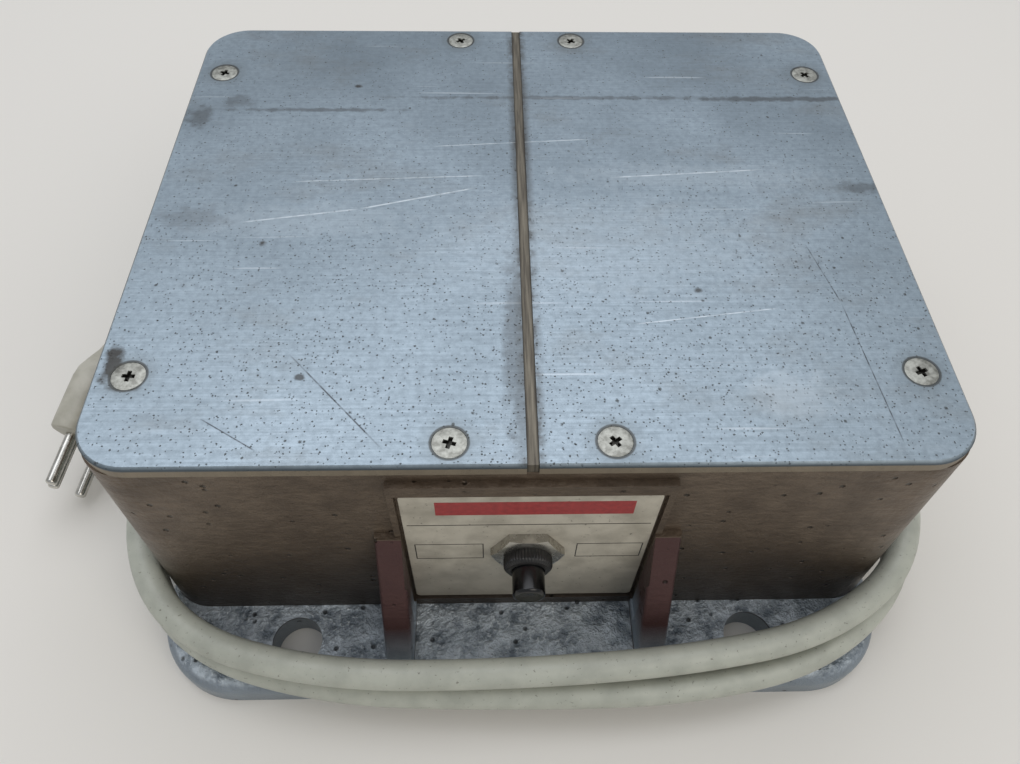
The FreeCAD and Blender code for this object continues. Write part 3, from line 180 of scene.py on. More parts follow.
def makeCamera(settings):
    data = bpy.data.cameras.new("camera")
    data.lens = settings["lens"]
    data.sensor_width = settings["sensor"]
    data.clip_start = 0.01
    camera = bpy.data.objects.new("camera", data)
    bpy.context.scene.collection.objects.link(camera)
    turn = (Matrix.Rotation(math.radians(settings["yaw"]), 4, "Z")
            @ Matrix.Rotation(math.radians(90 - settings["pitch"]), 4, "X")
            @ Matrix.Rotation(math.radians(settings["roll"]), 4, "Z"))
    camera.matrix_world = Matrix.Translation(settings["place"]) @ turn
    bpy.context.scene.camera = camera


makeCamera(cameraSettings)
print("camera stands")


# cord, two turns round the box, from the gland at the back to the plug at the left

cordSettings = {
    "diameter": 0.009, "length": 2.214,
    "route": [
        (0, 0.13836, 0.025), (0, 0.162, 0.025), (-0.011, 0.186, 0.0205), (-0.033, 0.2, 0.0135),
        (-0.062, 0.204, 0.007), (-0.098, 0.193, 0.0055), (-0.127, 0.167, 0.007), (-0.141, 0.13, 0.0105),
        (-0.141, 0.088, 0.0165), (-0.1355, 0.046, 0.019), (-0.128, 0.002, 0.0205),
        (-0.1285, -0.042, 0.019), (-0.1295, -0.0855, 0.0165), (-0.107, -0.116, 0.0158),
        (-0.062, -0.1293, 0.016), (-0.006, -0.1316, 0.0165), (0.052, -0.1312, 0.017),
        (0.099, -0.121, 0.018), (0.131, -0.091, 0.0205), (0.1325, -0.042, 0.024),
        (0.1268, 0.015, 0.028), (0.128, 0.072, 0.031), (0.117, 0.116, 0.034), (0.08, 0.137, 0.038),
        (0.018, 0.14, 0.042), (-0.04, 0.138, 0.043), (-0.088, 0.131, 0.042), (-0.121, 0.106, 0.0405),
        (-0.129, 0.06, 0.0395), (-0.1265, 0.005, 0.038), (-0.1268, -0.04, 0.034),
        (-0.1286, -0.0845, 0.029), (-0.1072, -0.1157, 0.027), (-0.061, -0.1277, 0.0265),
        (-0.008, -0.1283, 0.027), (0.048, -0.1254, 0.028), (0.095, -0.1174, 0.0295),
        (0.1282, -0.0926, 0.032), (0.132, -0.045, 0.035), (0.126, 0.012, 0.039), (0.1275, 0.07, 0.043),
        (0.116, 0.114, 0.048), (0.078, 0.138, 0.052), (0.016, 0.142, 0.053), (-0.044, 0.143, 0.0518),
        (-0.092, 0.1396, 0.0515), (-0.1285, 0.119, 0.0515), (-0.1395, 0.083, 0.0482),
        (-0.1398, 0.0472, 0.0416), (-0.1465, 0.019, 0.0341)],
}


def makeCord(settings):
    data = bpy.data.curves.new("mainsCord", "CURVE")
    data.dimensions = "3D"
    spline = data.splines.new("NURBS")
    spline.points.add(len(settings["route"]) - 1)
    for point, place in zip(spline.points, settings["route"]):
        point.co = (*place, 1)
    spline.order_u = 3
    spline.use_endpoint_u = True
    spline.resolution_u = 12
    data.bevel_depth = settings["diameter"] / 2
    data.bevel_resolution = 8
    data.use_fill_caps = True
    cord = bpy.data.objects.new("mainsCord", data)
    bpy.context.scene.collection.objects.link(cord)
    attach(cord, body)
    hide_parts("cord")
    return cord


cord = makeCord(cordSettings)
print("cord laid")


# materials

plateSettings = {
    "screwOuter": (107.8, 69.2), "screwInner": (21.3, 90.9), "ringRadius": 5.5, "ringFade": 0.93,
    "ringHalo": 1.7, "edgeTop": (99.9, 99.2), "edgeBand": (98.75, 98.55), "gapGrime": (4.2, 1.8),
    "bump": 0.05,
    # dark stains and pale rubbed spots: middle x, y and half sizes in millimetres, strength
    "stains": [(-113, -65, 2.6, 8, 0.95), (-108, -73, 5, 1.6, 0.6), (20, 54.5, 62, 1.2, 0.45),
               (95, 54, 40, 1.6, 0.6), (-70, 47, 34, 1.2, 0.5), (-58, 61, 1.6, 1.2, 0.9),
               (-80, -19, 1.6, 1.3, 0.9), (-112, 43, 5, 6, 0.5), (-100, 52, 6, 4, 0.35),
               (112, 6, 9, 3, 0.45), (-104, -8, 12, 5, 0.3), (0, 30, 3.2, 45, 0.5),
               (-4, -60, 3.4, 36, 0.45), (51, -39, 1.4, 1, 0.8), (-62, -70, 1.2, 1, 0.8)],
    "rubbed": [(70, -76, 12, 8, 0.4), (20, -20, 60, 24, 0.16), (-70, -9, 42, 8, 0.2), (55, 12, 48, 7, 0.2)],
    # single scratches: from x, y to x, y in millimetres, width, whether pale
    "scratches": [(-88, -10, -52, -4, 0.35, True), (-52, -4, -15, 6, 0.4, True),
                  (-75, 9, -12, 12, 0.25, True), (29, 11, 80, 15, 0.35, True), (-30, 27, 25, 31, 0.25, True),
                  (-66, -62, -38, -93, 0.3, False), (87, -20, 92, -44, 0.25, False),
                  (92, -44, 96, -93, 0.25, False), (-86, -83, -70, -93, 0.25, False),
                  (30, -52, 74, -46, 0.25, True)],
    # sets of long fine lines: turn, size in millimetres, how few
    "lineSets": [(0.10, 2.2, 0.735), (-0.35, 2.8, 0.75), (0.95, 3.2, 0.75)],
    # rust pits: spacing in millimetres, their share of a cell, how many cells have one
    "pits": [(1.1, 0.24, 0.62), (2.1, 0.17, 0.6), (5.5, 0.11, 0.5)], "pitShake": 0.0006,
}


def patch(tree, place, spots, ragged):
    # soft ellipses of given places and sizes, broken up by a noise
    torn = add(tree, "MapRange", ragged, 0.3, 0.7, -0.45, 0.45)
    total = None
    for x, y, halfX, halfY, strength in spots:
        moved = add(tree, "Mapping", place, (-x * mm, -y * mm, 0))
        scaled = add(tree, "VectorMath", moved, (perMetre(halfX), perMetre(halfY), 0), operation="MULTIPLY")
        reach = add(tree, "Math", add(tree, "VectorMath", scaled, operation="LENGTH"), torn, operation="ADD")
        spot = add(tree, "MapRange", reach, 0.5, 1.15, strength, 0)
        total = spot if total is None else add(tree, "Math", total, spot, operation="MAXIMUM")
    return total


def scratch(tree, place, line, ragged):
    # one straight fine line, broken up by a noise
    fromX, fromY, toX, toY, width = line
    middle = ((fromX + toX) / 2 * mm, (fromY + toY) / 2 * mm, 0)
    turn = (0, 0, math.atan2(toY - fromY, toX - fromX))
    moved = add(tree, "Mapping", place, middle, turn, vector_type="TEXTURE")
    along, across = add(tree, "SeparateXYZ", moved).node.outputs[:2]
    half = math.hypot(toX - fromX, toY - fromY) / 2 * mm
    lengthwise = add(tree, "Math", along, operation="ABSOLUTE")
    sideways = add(tree, "Math", across, operation="ABSOLUTE")
    inside = add(tree, "Math", add(tree, "MapRange", lengthwise, half, half * 0.8),
                 add(tree, "MapRange", sideways, width * mm, width * mm * 0.3), operation="MULTIPLY")
    worn = add(tree, "MapRange", ragged, 0.4, 0.55, 0.35, 0.9)
    return add(tree, "Math", inside, worn, operation="MULTIPLY")


def screwRing(tree, flatX, flatY, settings):
    # distance to the nearest screw, on one quarter that stands for all four
    folded = add(tree, "CombineXYZ", flatX, flatY)
    outer, inner = [add(tree, "VectorMath", folded, (x * mm, y * mm, 0), operation="DISTANCE")
                    for x, y in (settings["screwOuter"], settings["screwInner"])]
    return add(tree, "Math", outer, inner, operation="MINIMUM")


def groundSteel(settings):
    # surface-ground mild steel: fine marks from side to side, rust pits, rubbed and stained with use
    material, tree, place = newMaterial("groundMildSteel")
    x, y, z = add(tree, "SeparateXYZ", place).node.outputs
    flat = add(tree, "Mapping", place, None, None, (1, 1, 0))
    clouds = add(tree, "TexNoise", flat, perMetre(55), 4, 0.55)
    mottle = add(tree, "TexNoise", flat, perMetre(2.2), 6, 0.7)
    ragged = add(tree, "TexNoise", flat, perMetre(4), 5, 0.55)
    drawn = add(tree, "Mapping", place, None, None, (0.02, 1, 0))
    marks = add(tree, "TexNoise", drawn, perMetre(0.8), 4, 0.7)
    wide = add(tree, "Mapping", place, None, None, (0.5, 1, 0))
    film = add(tree, "TexNoise", wide, perMetre(30), 6, 0.7)
    # of each plate, the half towards the button is paler: a painted reflection of the overhead light
    tone = layered(tree, "#7e8b94", [(clouds, 0.35, 0.65, 1, "#97a5af"),
                                     (y, 60 * mm, -90 * mm, 0.6, "#a9b8c2"),
                                     (marks, 0.35, 0.7, 0.22, "#69757d"),
                                     (mottle, 0.42, 0.62, 0.34, "#68737b"),
                                     (film, 0.52, 0.72, 0.4, "#6d6a62")])
    for turn, size, share in settings["lineSets"]:
        slanted = add(tree, "Mapping", place, None, (0, 0, turn), (0.03, 1, 0))
        lines = add(tree, "TexNoise", slanted, perMetre(size), 1, 0.55)
        tone = layered(tree, tone, [(lines, share, share + 0.03, 0.45, "#c3ccd2")])
    # rust pits, thicker towards the button
    height = marks
    wobble = add(tree, "TexNoise", place, perMetre(0.8)).node.outputs["Color"]
    shaken = add(tree, "Mix", settings["pitShake"], place, wobble, data_type="VECTOR")
    for cell, reach, keep in settings["pits"]:
        distance = add(tree, "TexVoronoi", shaken, perMetre(cell))
        cellTone = add(tree, "SeparateColor", distance.node.outputs["Color"])
        thick = add(tree, "MapRange", y, 60 * mm, -60 * mm, keep - 0.35, keep)
        chosen = add(tree, "Math", cellTone, thick, operation="LESS_THAN")
        hollow = add(tree, "MapRange", distance, reach, reach * 0.45)
        pits = add(tree, "Math", hollow, chosen, operation="MULTIPLY")
        tone = layered(tree, tone, [(pits, 0, 1, 0.8, "#35342f")])
        height = add(tree, "Math", pits, -1.5, height, operation="MULTIPLY_ADD")
    tone = layered(tree, tone, [(patch(tree, place, settings["rubbed"], ragged), 0, 1, 1, "#b4bfc6"),
                                (patch(tree, place, settings["stains"], ragged), 0, 1, 1, "#3d3b38")])
    for *line, pale in settings["scratches"]:
        colour = "#c8d1d6" if pale else "#3f4245"
        tone = layered(tree, tone, [(scratch(tree, place, line, ragged), 0, 1, 1, colour)])
    # dark rings round the screws, painted shade and grime in the crevice round each head with a fainter
    # darker halo beyond, grime along the gap, and an edge that is sawn and browner below
    flatX, flatY = [add(tree, "Math", part, operation="ABSOLUTE") for part in (x, y)]
    ring, edge = screwRing(tree, flatX, flatY, settings), settings["ringRadius"] * mm
    nearGap = add(tree, "MapRange", flatX, *[reach * mm for reach in settings["gapGrime"]])
    grime = add(tree, "Math", nearGap, add(tree, "MapRange", ragged, 0.4, 0.6, 0.15, 0.75),
                operation="MULTIPLY")
    sawn = add(tree, "Mix", ragged, "#736a5d", "#948977", data_type="RGBA")
    edgeTop, edgeBand = [[level * mm for level in settings[name]] for name in ("edgeTop", "edgeBand")]
    tone = layered(tree, tone, [(ring, edge, edge * settings["ringFade"], 0.85, "#3c3b37"),
                                (ring, edge * settings["ringHalo"], edge, 0.25, "#5f6361"),
                                (grime, 0, 1, 1, "#45423d"), (z, *edgeTop, 1, "#4d565c"),
                                (z, *edgeBand, 1, sawn)])
    rough = add(tree, "MapRange", marks, 0.3, 0.7, 0.36, 0.5)
    finishMaterial(tree, height, settings["bump"],
                   **{"Base Color": tone, "Metallic": 0.72, "Roughness": rough})
    return material


# heights and places in millimetres, each pair from where a thing begins to where it is full
castingSettings = {"wallShade": (58.0, 12.0), "flangeTop": (12.5, 10.6), "rimTop": (10.3, 9.2),
                   "ribSpacing": 40.0, "ribHalf": 4.45, "ribReach": 100.6, "ribFoot": (11.5, 13.0),
                   "ribPale": (30.0, 17.0), "bump": 1.6}


def castAluminium(settings):
    # sand-cast aluminium: machined dull walls, rough bright flange, oil-brown ribs
    material, tree, place = newMaterial("castAluminium")
    x, y, z = add(tree, "SeparateXYZ", place).node.outputs
    facing = add(tree, "NewGeometry").node.outputs["Normal"]
    up = add(tree, "SeparateXYZ", facing).node.outputs["Z"]

    def byHeight(name):
        return add(tree, "MapRange", z, *[height * mm for height in settings[name]])

    drawn = add(tree, "Mapping", place, None, None, (0.25, 0.25, 1))
    level = add(tree, "TexNoise", drawn, perMetre(1.4), 6, 0.7)
    blotch = add(tree, "TexNoise", place, perMetre(14), 5, 0.55)
    grain = add(tree, "TexNoise", place, perMetre(6.0), 7, 0.62)
    fine = add(tree, "TexNoise", place, perMetre(1.4), 4, 0.55)
    lumps = add(tree, "TexNoise", place, perMetre(24), 4, 0.55)
    # the walls darken towards the flange: painted shade at their foot
    wall = layered(tree, "#574a3d", [(level, 0.3, 0.7, 1, "#726455"), (blotch, 0.45, 0.7, 0.55, "#463c33"),
                                     (byHeight("wallShade"), 0, 1, 0.75, "#322e2b")])
    rough = layered(tree, "#6b757e", [(grain, 0.36, 0.6, 1, "#c0cad2"), (fine, 0.56, 0.7, 0.6, "#dde5ea"),
                                      (lumps, 0.5, 0.72, 0.4, "#7d7f80")])
    distance = add(tree, "TexVoronoi", place, perMetre(4.5))
    cellTone = add(tree, "SeparateColor", distance.node.outputs["Color"])
    chosen = add(tree, "Math", cellTone, 0.4, operation="LESS_THAN")
    pits = add(tree, "Math", add(tree, "MapRange", distance, 0.2, 0.08), chosen, operation="MULTIPLY")
    # the flange faces up; its rounded rim is worn smooth and blue-grey
    onFlange, rim = [add(tree, "Math", byHeight(name), add(tree, "MapRange", up, steep, full),
                         operation="MULTIPLY")
                     for name, steep, full in (("flangeTop", 0.25, 0.6), ("rimTop", 0.97, 0.85))]
    worn = add(tree, "Mix", blotch, "#737d86", "#9ea8b1", data_type="RGBA")
    # ribs, brown at the top and pale at the foot
    flatX, flatY = [add(tree, "Math", part, operation="ABSOLUTE") for part in (x, y)]
    fromRib = add(tree, "Math", flatX, settings["ribSpacing"] * mm, operation="SUBTRACT")
    acrossRib = add(tree, "Math", fromRib, operation="ABSOLUTE")
    onRib = byHeight("ribFoot")
    for source, limit, side in ((acrossRib, "ribHalf", "LESS_THAN"), (flatY, "ribReach", "GREATER_THAN")):
        within = add(tree, "Math", source, settings[limit] * mm, operation=side)
        onRib = add(tree, "Math", onRib, within, operation="MULTIPLY")
    brown = add(tree, "Mix", blotch, "#40292a", "#5a403d", data_type="RGBA")
    pale = add(tree, "Mix", grain, "#737f8b", "#aab4bd", data_type="RGBA")
    ribTone = layered(tree, brown, [(byHeight("ribPale"), 0, 1, 1, pale)])
    tone = layered(tree, wall, [(onFlange, 0, 1, 1, rough), (rim, 0, 1, 1, worn), (onRib, 0, 1, 1, ribTone),
                                (pits, 0, 1, 0.75, "#26241f")])
    # the grain is deep on the flange and a quarter as deep on the walls
    height = add(tree, "Math", add(tree, "Math", fine, 0.5, grain, operation="MULTIPLY_ADD"),
                 add(tree, "MapRange", onFlange, 0, 1, 0.25, 1), operation="MULTIPLY")
    for part, depth in ((level, 0.12), (pits, -0.5)):
        height = add(tree, "Math", part, depth, height, operation="MULTIPLY_ADD")
    finishMaterial(tree, height, settings["bump"],
                   **{"Base Color": tone, "Metallic": 0.55,
                      "Roughness": add(tree, "MapRange", blotch, 0.3, 0.7, 0.34, 0.48)})
    return material


def gapBrass():
    # dull drawn strip between the plates, brown with grime, and with painted shade along its sides where it
    # meets the plates
    material, tree, place = newMaterial("gapStripBrass")
    x = add(tree, "SeparateXYZ", place)
    drawn = add(tree, "Mapping", place, None, None, (1, 0.05, 0))
    streaks = add(tree, "TexNoise", drawn, perMetre(1.0), 4, 0.55)
    toSide = add(tree, "Math", x, operation="ABSOLUTE")
    # near black along both sides: painted shade in the crevices by the plates
    tone = layered(tree, "#4d4840", [(streaks, 0.35, 0.65, 1, "#7b7568"),
                                     (toSide, 0.9 * mm, 1.5 * mm, 0.8, "#26241f")])
    finishMaterial(tree, streaks, 0.06, **{"Base Color": tone, "Metallic": 0.6, "Roughness": 0.5})
    return material


def screwSteel():
    # zinc-plated steel screws, the plating dulled and the recess painted near black, as grime and as painted
    # shade
    material, tree, place = newMaterial("zincPlatedSteel")
    z = add(tree, "SeparateXYZ", place).node.outputs["Z"]
    dull = add(tree, "TexNoise", place, perMetre(1.6), 4, 0.55)
    # only the plates' own screws reach this height; below it lie their recesses
    recess = add(tree, "Math", add(tree, "MapRange", z, 99.82 * mm, 99.55 * mm),
                 add(tree, "MapRange", z, 98 * mm, 98.2 * mm), operation="MULTIPLY")
    tone = layered(tree, "#7f7f78", [(dull, 0.35, 0.65, 1, "#b3b4ac"), (recess, 0, 1, 0.93, "#1f1d18")])
    finishMaterial(tree, dull, 0.04, **{"Base Color": tone, "Metallic": 0.75,
                                        "Roughness": add(tree, "MapRange", dull, 0.3, 0.7, 0.34, 0.5)})
    return material


def cordSheath():
    # light grey PVC sheath: satin, with rubbed dirt and small scuffs
    material, tree, place = newMaterial("greyPvcSheath")
    dirt = add(tree, "TexNoise", place, perMetre(9), 5, 0.55)
    specks = add(tree, "TexNoise", place, perMetre(1.1), 2, 0.55)
    scuffs = add(tree, "TexNoise", place, perMetre(0.9), 3, 0.55)
    tone = layered(tree, "#b3b6aa", [(dirt, 0.4, 0.7, 1, "#a3a69b"), (specks, 0.66, 0.74, 0.65, "#5d574d")])
    finishMaterial(tree, scuffs, 0.03, **{"Base Color": tone, "IOR": 1.53,
                                          "Roughness": add(tree, "MapRange", dirt, 0.3, 0.7, 0.38, 0.52)})
    return material


def paintedSheet():
    # rating plate: cream stoving enamel on aluminium sheet, rubbed and stained, and darker towards its
    # bottom edge
    material, tree, place = newMaterial("creamEnamelSheet")
    z = add(tree, "SeparateXYZ", place).node.outputs["Z"]
    dirt = add(tree, "TexNoise", place, perMetre(8), 5, 0.55)
    specks = add(tree, "TexNoise", place, perMetre(1.2), 2, 0.55)
    tone = layered(tree, "#c3bdae", [(dirt, 0.38, 0.7, 1, "#a29c8e"), (z, 42 * mm, 18 * mm, 0.55, "#817c72"),
                                     (specks, 0.68, 0.75, 0.7, "#4a443b")])
    finishMaterial(tree, dirt, 0.02, **{"Base Color": tone, "Roughness": 0.42, "IOR": 1.5})
    return material


def plainFinish(name, settings):
    # one finish whose two tones follow a grain of a real size
    material, tree, place = newMaterial(name)
    drawn = add(tree, "Mapping", place, None, None, settings.get("stretch", (1, 1, 1)))
    grain = add(tree, "TexNoise", drawn, perMetre(settings["grain"]), 4, 0.55)
    if "stripe" in settings:
        # even lines, as of turns of wire or stacked sheets; the texture's own stripes are 3.183 apart
        wave = add(tree, "TexWave", place, perMetre(settings["stripe"]) / 3.183, 0.3, wave_type="BANDS",
                   bands_direction=settings["across"]).node.outputs["Fac"]
        grain = add(tree, "Math", wave, 0.6, add(tree, "Math", grain, 0.4, operation="MULTIPLY"),
                    operation="MULTIPLY_ADD")
    first, second = settings["tones"]
    low, high = settings["rough"]
    finishMaterial(tree, grain, settings["bump"],
                   **{"Base Color": layered(tree, first, [(grain, 0.35, 0.65, 1, second)]),
                      "Metallic": settings.get("metal", 0.0), "IOR": settings.get("ior"),
                      "Roughness": add(tree, "MapRange", grain, 0.3, 0.7, low, high)})
    return material


finishes = {
    # nickel-plated turned steel: bright, with fine turning marks
    "nickelPlatedSteel": {"tones": ("#a5a29a", "#c4c1b9"), "grain": 4.0, "rough": (0.24, 0.34), "metal": 0.9,
                          "bump": 0.01},
    # black phenolic of the ring nut: matt, dusty in its knurl
    "blackPhenolic": {"tones": ("#070707", "#131211"), "grain": 1.5, "rough": (0.32, 0.45), "bump": 0.03,
                      "ior": 1.55},
    # polished black acetal of the push button
    "blackAcetal": {"tones": ("#040506", "#090a0c"), "grain": 5.0, "rough": (0.12, 0.2), "bump": 0.01,
                    "ior": 1.48},
    # black moulded nylon of the switch and the cut-out
    "blackNylon": {"tones": ("#161616", "#232323"), "grain": 0.8, "rough": (0.45, 0.6), "bump": 0.03,
                   "ior": 1.53},
    # silver steel spring wire
    "springSteel": {"tones": ("#7d8084", "#a4a7aa"), "grain": 0.8, "rough": (0.25, 0.4), "metal": 1.0,
                    "bump": 0.01},
    # plain brass of contacts and terminal screws
    "plainBrass": {"tones": ("#a5853f", "#c9a95d"), "grain": 1.2, "rough": (0.28, 0.42), "metal": 1.0,
                   "bump": 0.02},
    # stacked electrical sheets, edge on, under brown varnish; drawn 2 mm thick so that they show
    "laminatedCoreSteel": {"tones": ("#2f3236", "#565b60"), "grain": 1.0, "rough": (0.4, 0.55), "metal": 0.7,
                           "bump": 0.06, "stripe": 2.0, "across": "Y"},
    # enamelled copper wire in even layers, drawn 2 mm thick so that it shows
    "enamelledCopper": {"tones": ("#6b2d16", "#b2602f"), "grain": 1.0, "rough": (0.3, 0.42), "metal": 0.8,
                        "bump": 0.12, "stripe": 2.0, "across": "Z"},
    # varnished cotton tape, its weave coarse
    "varnishedCottonTape": {"tones": ("#a5813a", "#c7a558"), "grain": 1.0, "rough": (0.5, 0.65), "bump": 0.1,
                            "stripe": 1.5, "across": "Z", "ior": 1.5},
    # natural moulded nylon of bobbins and terminal block
    "naturalNylon": {"tones": ("#c4bca4", "#dcd6c4"), "grain": 1.0, "rough": (0.4, 0.55), "bump": 0.03,
                     "ior": 1.53},
    # grey primer brushed on steel angle and bar
    "greyPrimer": {"tones": ("#3c3f42", "#53575b"), "grain": 1.5, "rough": (0.5, 0.65), "bump": 0.06,
                   "ior": 1.5},
    # grey enamel on the bottom sheet, scratched from sliding on benches
    "greyEnamelSheet": {"tones": ("#4c4e50", "#6a6c6e"), "grain": 1.4, "rough": (0.35, 0.5), "bump": 0.03,
                        "stretch": (0.05, 1, 1), "ior": 1.5},
    # moulded grey nylon of the cable gland
    "greyNylon": {"tones": ("#55585b", "#6c6f72"), "grain": 0.9, "rough": (0.4, 0.55), "bump": 0.04,
                  "ior": 1.53},
    # black sponge and sealing rubber
    "blackRubber": {"tones": ("#121212", "#242424"), "grain": 0.9, "rough": (0.65, 0.8), "bump": 0.06,
                    "ior": 1.52},
    # light grey moulded plug, handled and a little dirty
    "greyMouldedPvc": {"tones": ("#a19e90", "#b5b2a5"), "grain": 7.0, "rough": (0.38, 0.5), "bump": 0.03,
                       "ior": 1.53},
    # bright nickel on the plug's pins
    "brightNickel": {"tones": ("#b9b7b0", "#d8d6d0"), "grain": 3.0, "rough": (0.16, 0.3), "metal": 1.0,
                     "bump": 0.01},
    # extruded PVC of the single leads
    "brownPvc": {"tones": ("#4a2a1a", "#603824"), "grain": 2.0, "rough": (0.3, 0.42), "bump": 0.02,
                 "ior": 1.53},
    "bluePvc": {"tones": ("#1f4178", "#2c5596"), "grain": 2.0, "rough": (0.3, 0.42), "bump": 0.02,
                "ior": 1.53},
    "greenYellowPvc": {"tones": ("#2f7a2c", "#b9b12c"), "grain": 2.0, "rough": (0.3, 0.42), "bump": 0.02,
                       "stripe": 5.0, "across": "DIAGONAL", "ior": 1.53},
    # screen printing ink on the rating plate
    "blackInk": {"tones": ("#1d1c1a", "#2e2c29"), "grain": 1.0, "rough": (0.45, 0.6), "bump": 0.01,
                 "ior": 1.5},
    "redInk": {"tones": ("#8f2a2c", "#a63a3a"), "grain": 1.5, "rough": (0.4, 0.55), "bump": 0.01,
               "ior": 1.5},
}

looks = {name: plainFinish(name, settings) for name, settings in finishes.items()}
looks["groundMildSteel"] = groundSteel(plateSettings)
looks["castAluminium"] = castAluminium(castingSettings)
looks["gapStripBrass"] = gapBrass()
looks["zincPlatedSteel"] = screwSteel()
looks["greyPvcSheath"] = cordSheath()
looks["creamEnamelSheet"] = paintedSheet()

lookOfNode = {
    "castAluminium": ["cast_housing"],
    "groundMildSteel": ["pole_plate_left", "pole_plate_right"],
    "gapStripBrass": ["gap_strip"],
    "zincPlatedSteel": ["plate_screws", "core_bolts", "core_nuts", "clamp_bolts", "clamp_nuts",
                        "support_bar_bolts", "terminal_block_screws", "bottom_screws"],
    "creamEnamelSheet": ["rating_plate"],
    "nickelPlatedSteel": ["switch_hex_nut"],
    "blackPhenolic": ["switch_ring_nut"],
    "blackAcetal": ["button_plunger"],
    "blackNylon": ["switch_body", "thermal_cutout"],
    "springSteel": ["button_spring"],
    "plainBrass": ["moving_contact", "fixed_contact_left", "fixed_contact_right", "terminal_screws",
                   "earth_lug", "earth_screw"],
    "laminatedCoreSteel": ["core_yoke", "core_leg_left", "core_leg_right"],
    "enamelledCopper": ["winding_left", "winding_right"],
    "varnishedCottonTape": ["coil_tape_left", "coil_tape_right"],
    "naturalNylon": ["bobbin_left", "bobbin_right", "terminal_block"],
    "greyPrimer": ["core_clamp_front", "core_clamp_back", "support_bar_front", "support_bar_back"],
    "greyEnamelSheet": ["bottom_cover"],
    "greyNylon": ["gland_body", "gland_locknut", "gland_cap"],
    "blackRubber": ["bottom_gasket", "gland_seal"],
    "greyPvcSheath": ["cord_in_gland", "cord_relief"],
    "greyMouldedPvc": ["plug_body", "plug_relief"],
    "brightNickel": ["plug_pins"],
    "brownPvc": ["wire_live_in", "wire_to_switch", "wire_to_cutout", "wire_cutout_to_coil"],
    "bluePvc": ["wire_neutral_in", "wire_coil_link", "wire_coil_return"],
    "greenYellowPvc": ["wire_earth"],
}
for look, nodes in lookOfNode.items():
    for name in nodes:
        mesh = bpy.data.objects[name].data
        if not mesh.materials:
            mesh.materials.append(looks[look])
        for index in range(len(mesh.materials)):
            mesh.materials[index] = looks[look]
cord.data.materials.append(looks["greyPvcSheath"])
print("materials made")


# plate screws, countersunk heads with cross recesses

screwSettings = {"head": 4.6, "shank": 2.5, "length": 16.0, "tip": 0.4, "top": 100.0, "sides": 48,
                 "rim": 0.25, "slotLong": 2.25, "slotWide": 0.75, "slotDeep": 1.3, "slotTaper": 0.6,
                 "places": [plateSettings["screwOuter"], plateSettings["screwInner"]], "seed": 7}


def crossCutter(settings):
    # a prism with a plus-shaped section, narrower at its bottom
    long, wide, deep = settings["slotLong"], settings["slotWide"], settings["slotDeep"]
    quarter = [(long, -wide), (long, wide), (wide, wide)]
    outline = []
    for turn in range(4):
        c, s = round(math.cos(turn * math.pi / 2)), round(math.sin(turn * math.pi / 2))
        outline += [(x * c - y * s, x * s + y * c) for x, y in quarter]
    shape = bmesh.new()
    rings = [[shape.verts.new((x * share * mm, y * share * mm, z * mm)) for x, y in outline]
             for share, z in ((settings["slotTaper"], -deep), (1.0, deep))]
    count = len(outline)
    for step in range(count):
        after = (step + 1) % count
        shape.faces.new((rings[0][step], rings[0][after], rings[1][after], rings[1][step]))
    shape.faces.new(rings[1])
    shape.faces.new(rings[0][::-1])
    mesh = bpy.data.meshes.new("crossCutter")
    shape.to_mesh(mesh)
    shape.free()
    return mesh


def screwShape(settings):
    # one screw that points down from its head's face, cut by its cross recess
    head, shank, rim = settings["head"], settings["shank"], settings["rim"]
    deep = head - shank
    tip, taper = -settings["length"], settings["tip"]
    profile = [(tip, 0), (tip, shank - taper), (tip + taper, shank), (-deep, shank), (-rim, head),
               (-0.08, head - 0.02), (0, head - rim), (0, head * 0.5), (0, 0)]
    mesh = lathe("screwBlank", [(along * mm, radius * mm) for along, radius in profile], settings["sides"])
    mesh.transform(Matrix.Rotation(math.pi / 2, 4, "X"))
    blank, cutter = scratchObject("screwBlank", mesh), scratchObject("crossCutter", crossCutter(settings))
    cut = blank.modifiers.new("recess", "BOOLEAN")
    cut.object = cutter
    cut.operation = "DIFFERENCE"
    cut.solver = "EXACT"
    result = plainMesh(blank, "screwShape")
    dropObject(blank)
    dropObject(cutter)
    smoothByAngle(result, 35)
    return result


def instanceTree(name, material, seed):
    # an object set on each point of the mesh, turned at random about Z
    tree = bpy.data.node_groups.new(name, "GeometryNodeTree")
    for label, kind in (("Points", "NodeSocketGeometry"), ("Piece", "NodeSocketObject"),
                        ("Turn", "NodeSocketFloat")):
        tree.interface.new_socket(label, in_out="INPUT", socket_type=kind)
    tree.interface.new_socket("Result", in_out="OUTPUT", socket_type="NodeSocketGeometry")
    given = add(tree, "NodeGroupInput").node.outputs
    piece = add(tree, "GeometryNodeObjectInfo", given["Piece"]).node.outputs["Geometry"]
    angle = add(tree, "FunctionNodeRandomValue", 0.0, given["Turn"], None, seed, data_type="FLOAT")
    turned = add(tree, "FunctionNodeEulerToRotation", add(tree, "CombineXYZ", None, None, angle))
    points = add(tree, "GeometryNodeMeshToPoints", given["Points"])
    placed = add(tree, "GeometryNodeInstanceOnPoints",
                 named={"Points": points, "Instance": piece, "Rotation": turned})
    solid = add(tree, "GeometryNodeRealizeInstances", placed)
    add(tree, "NodeGroupOutput", add(tree, "GeometryNodeSetMaterial", solid, named={"Material": material}))
    return tree


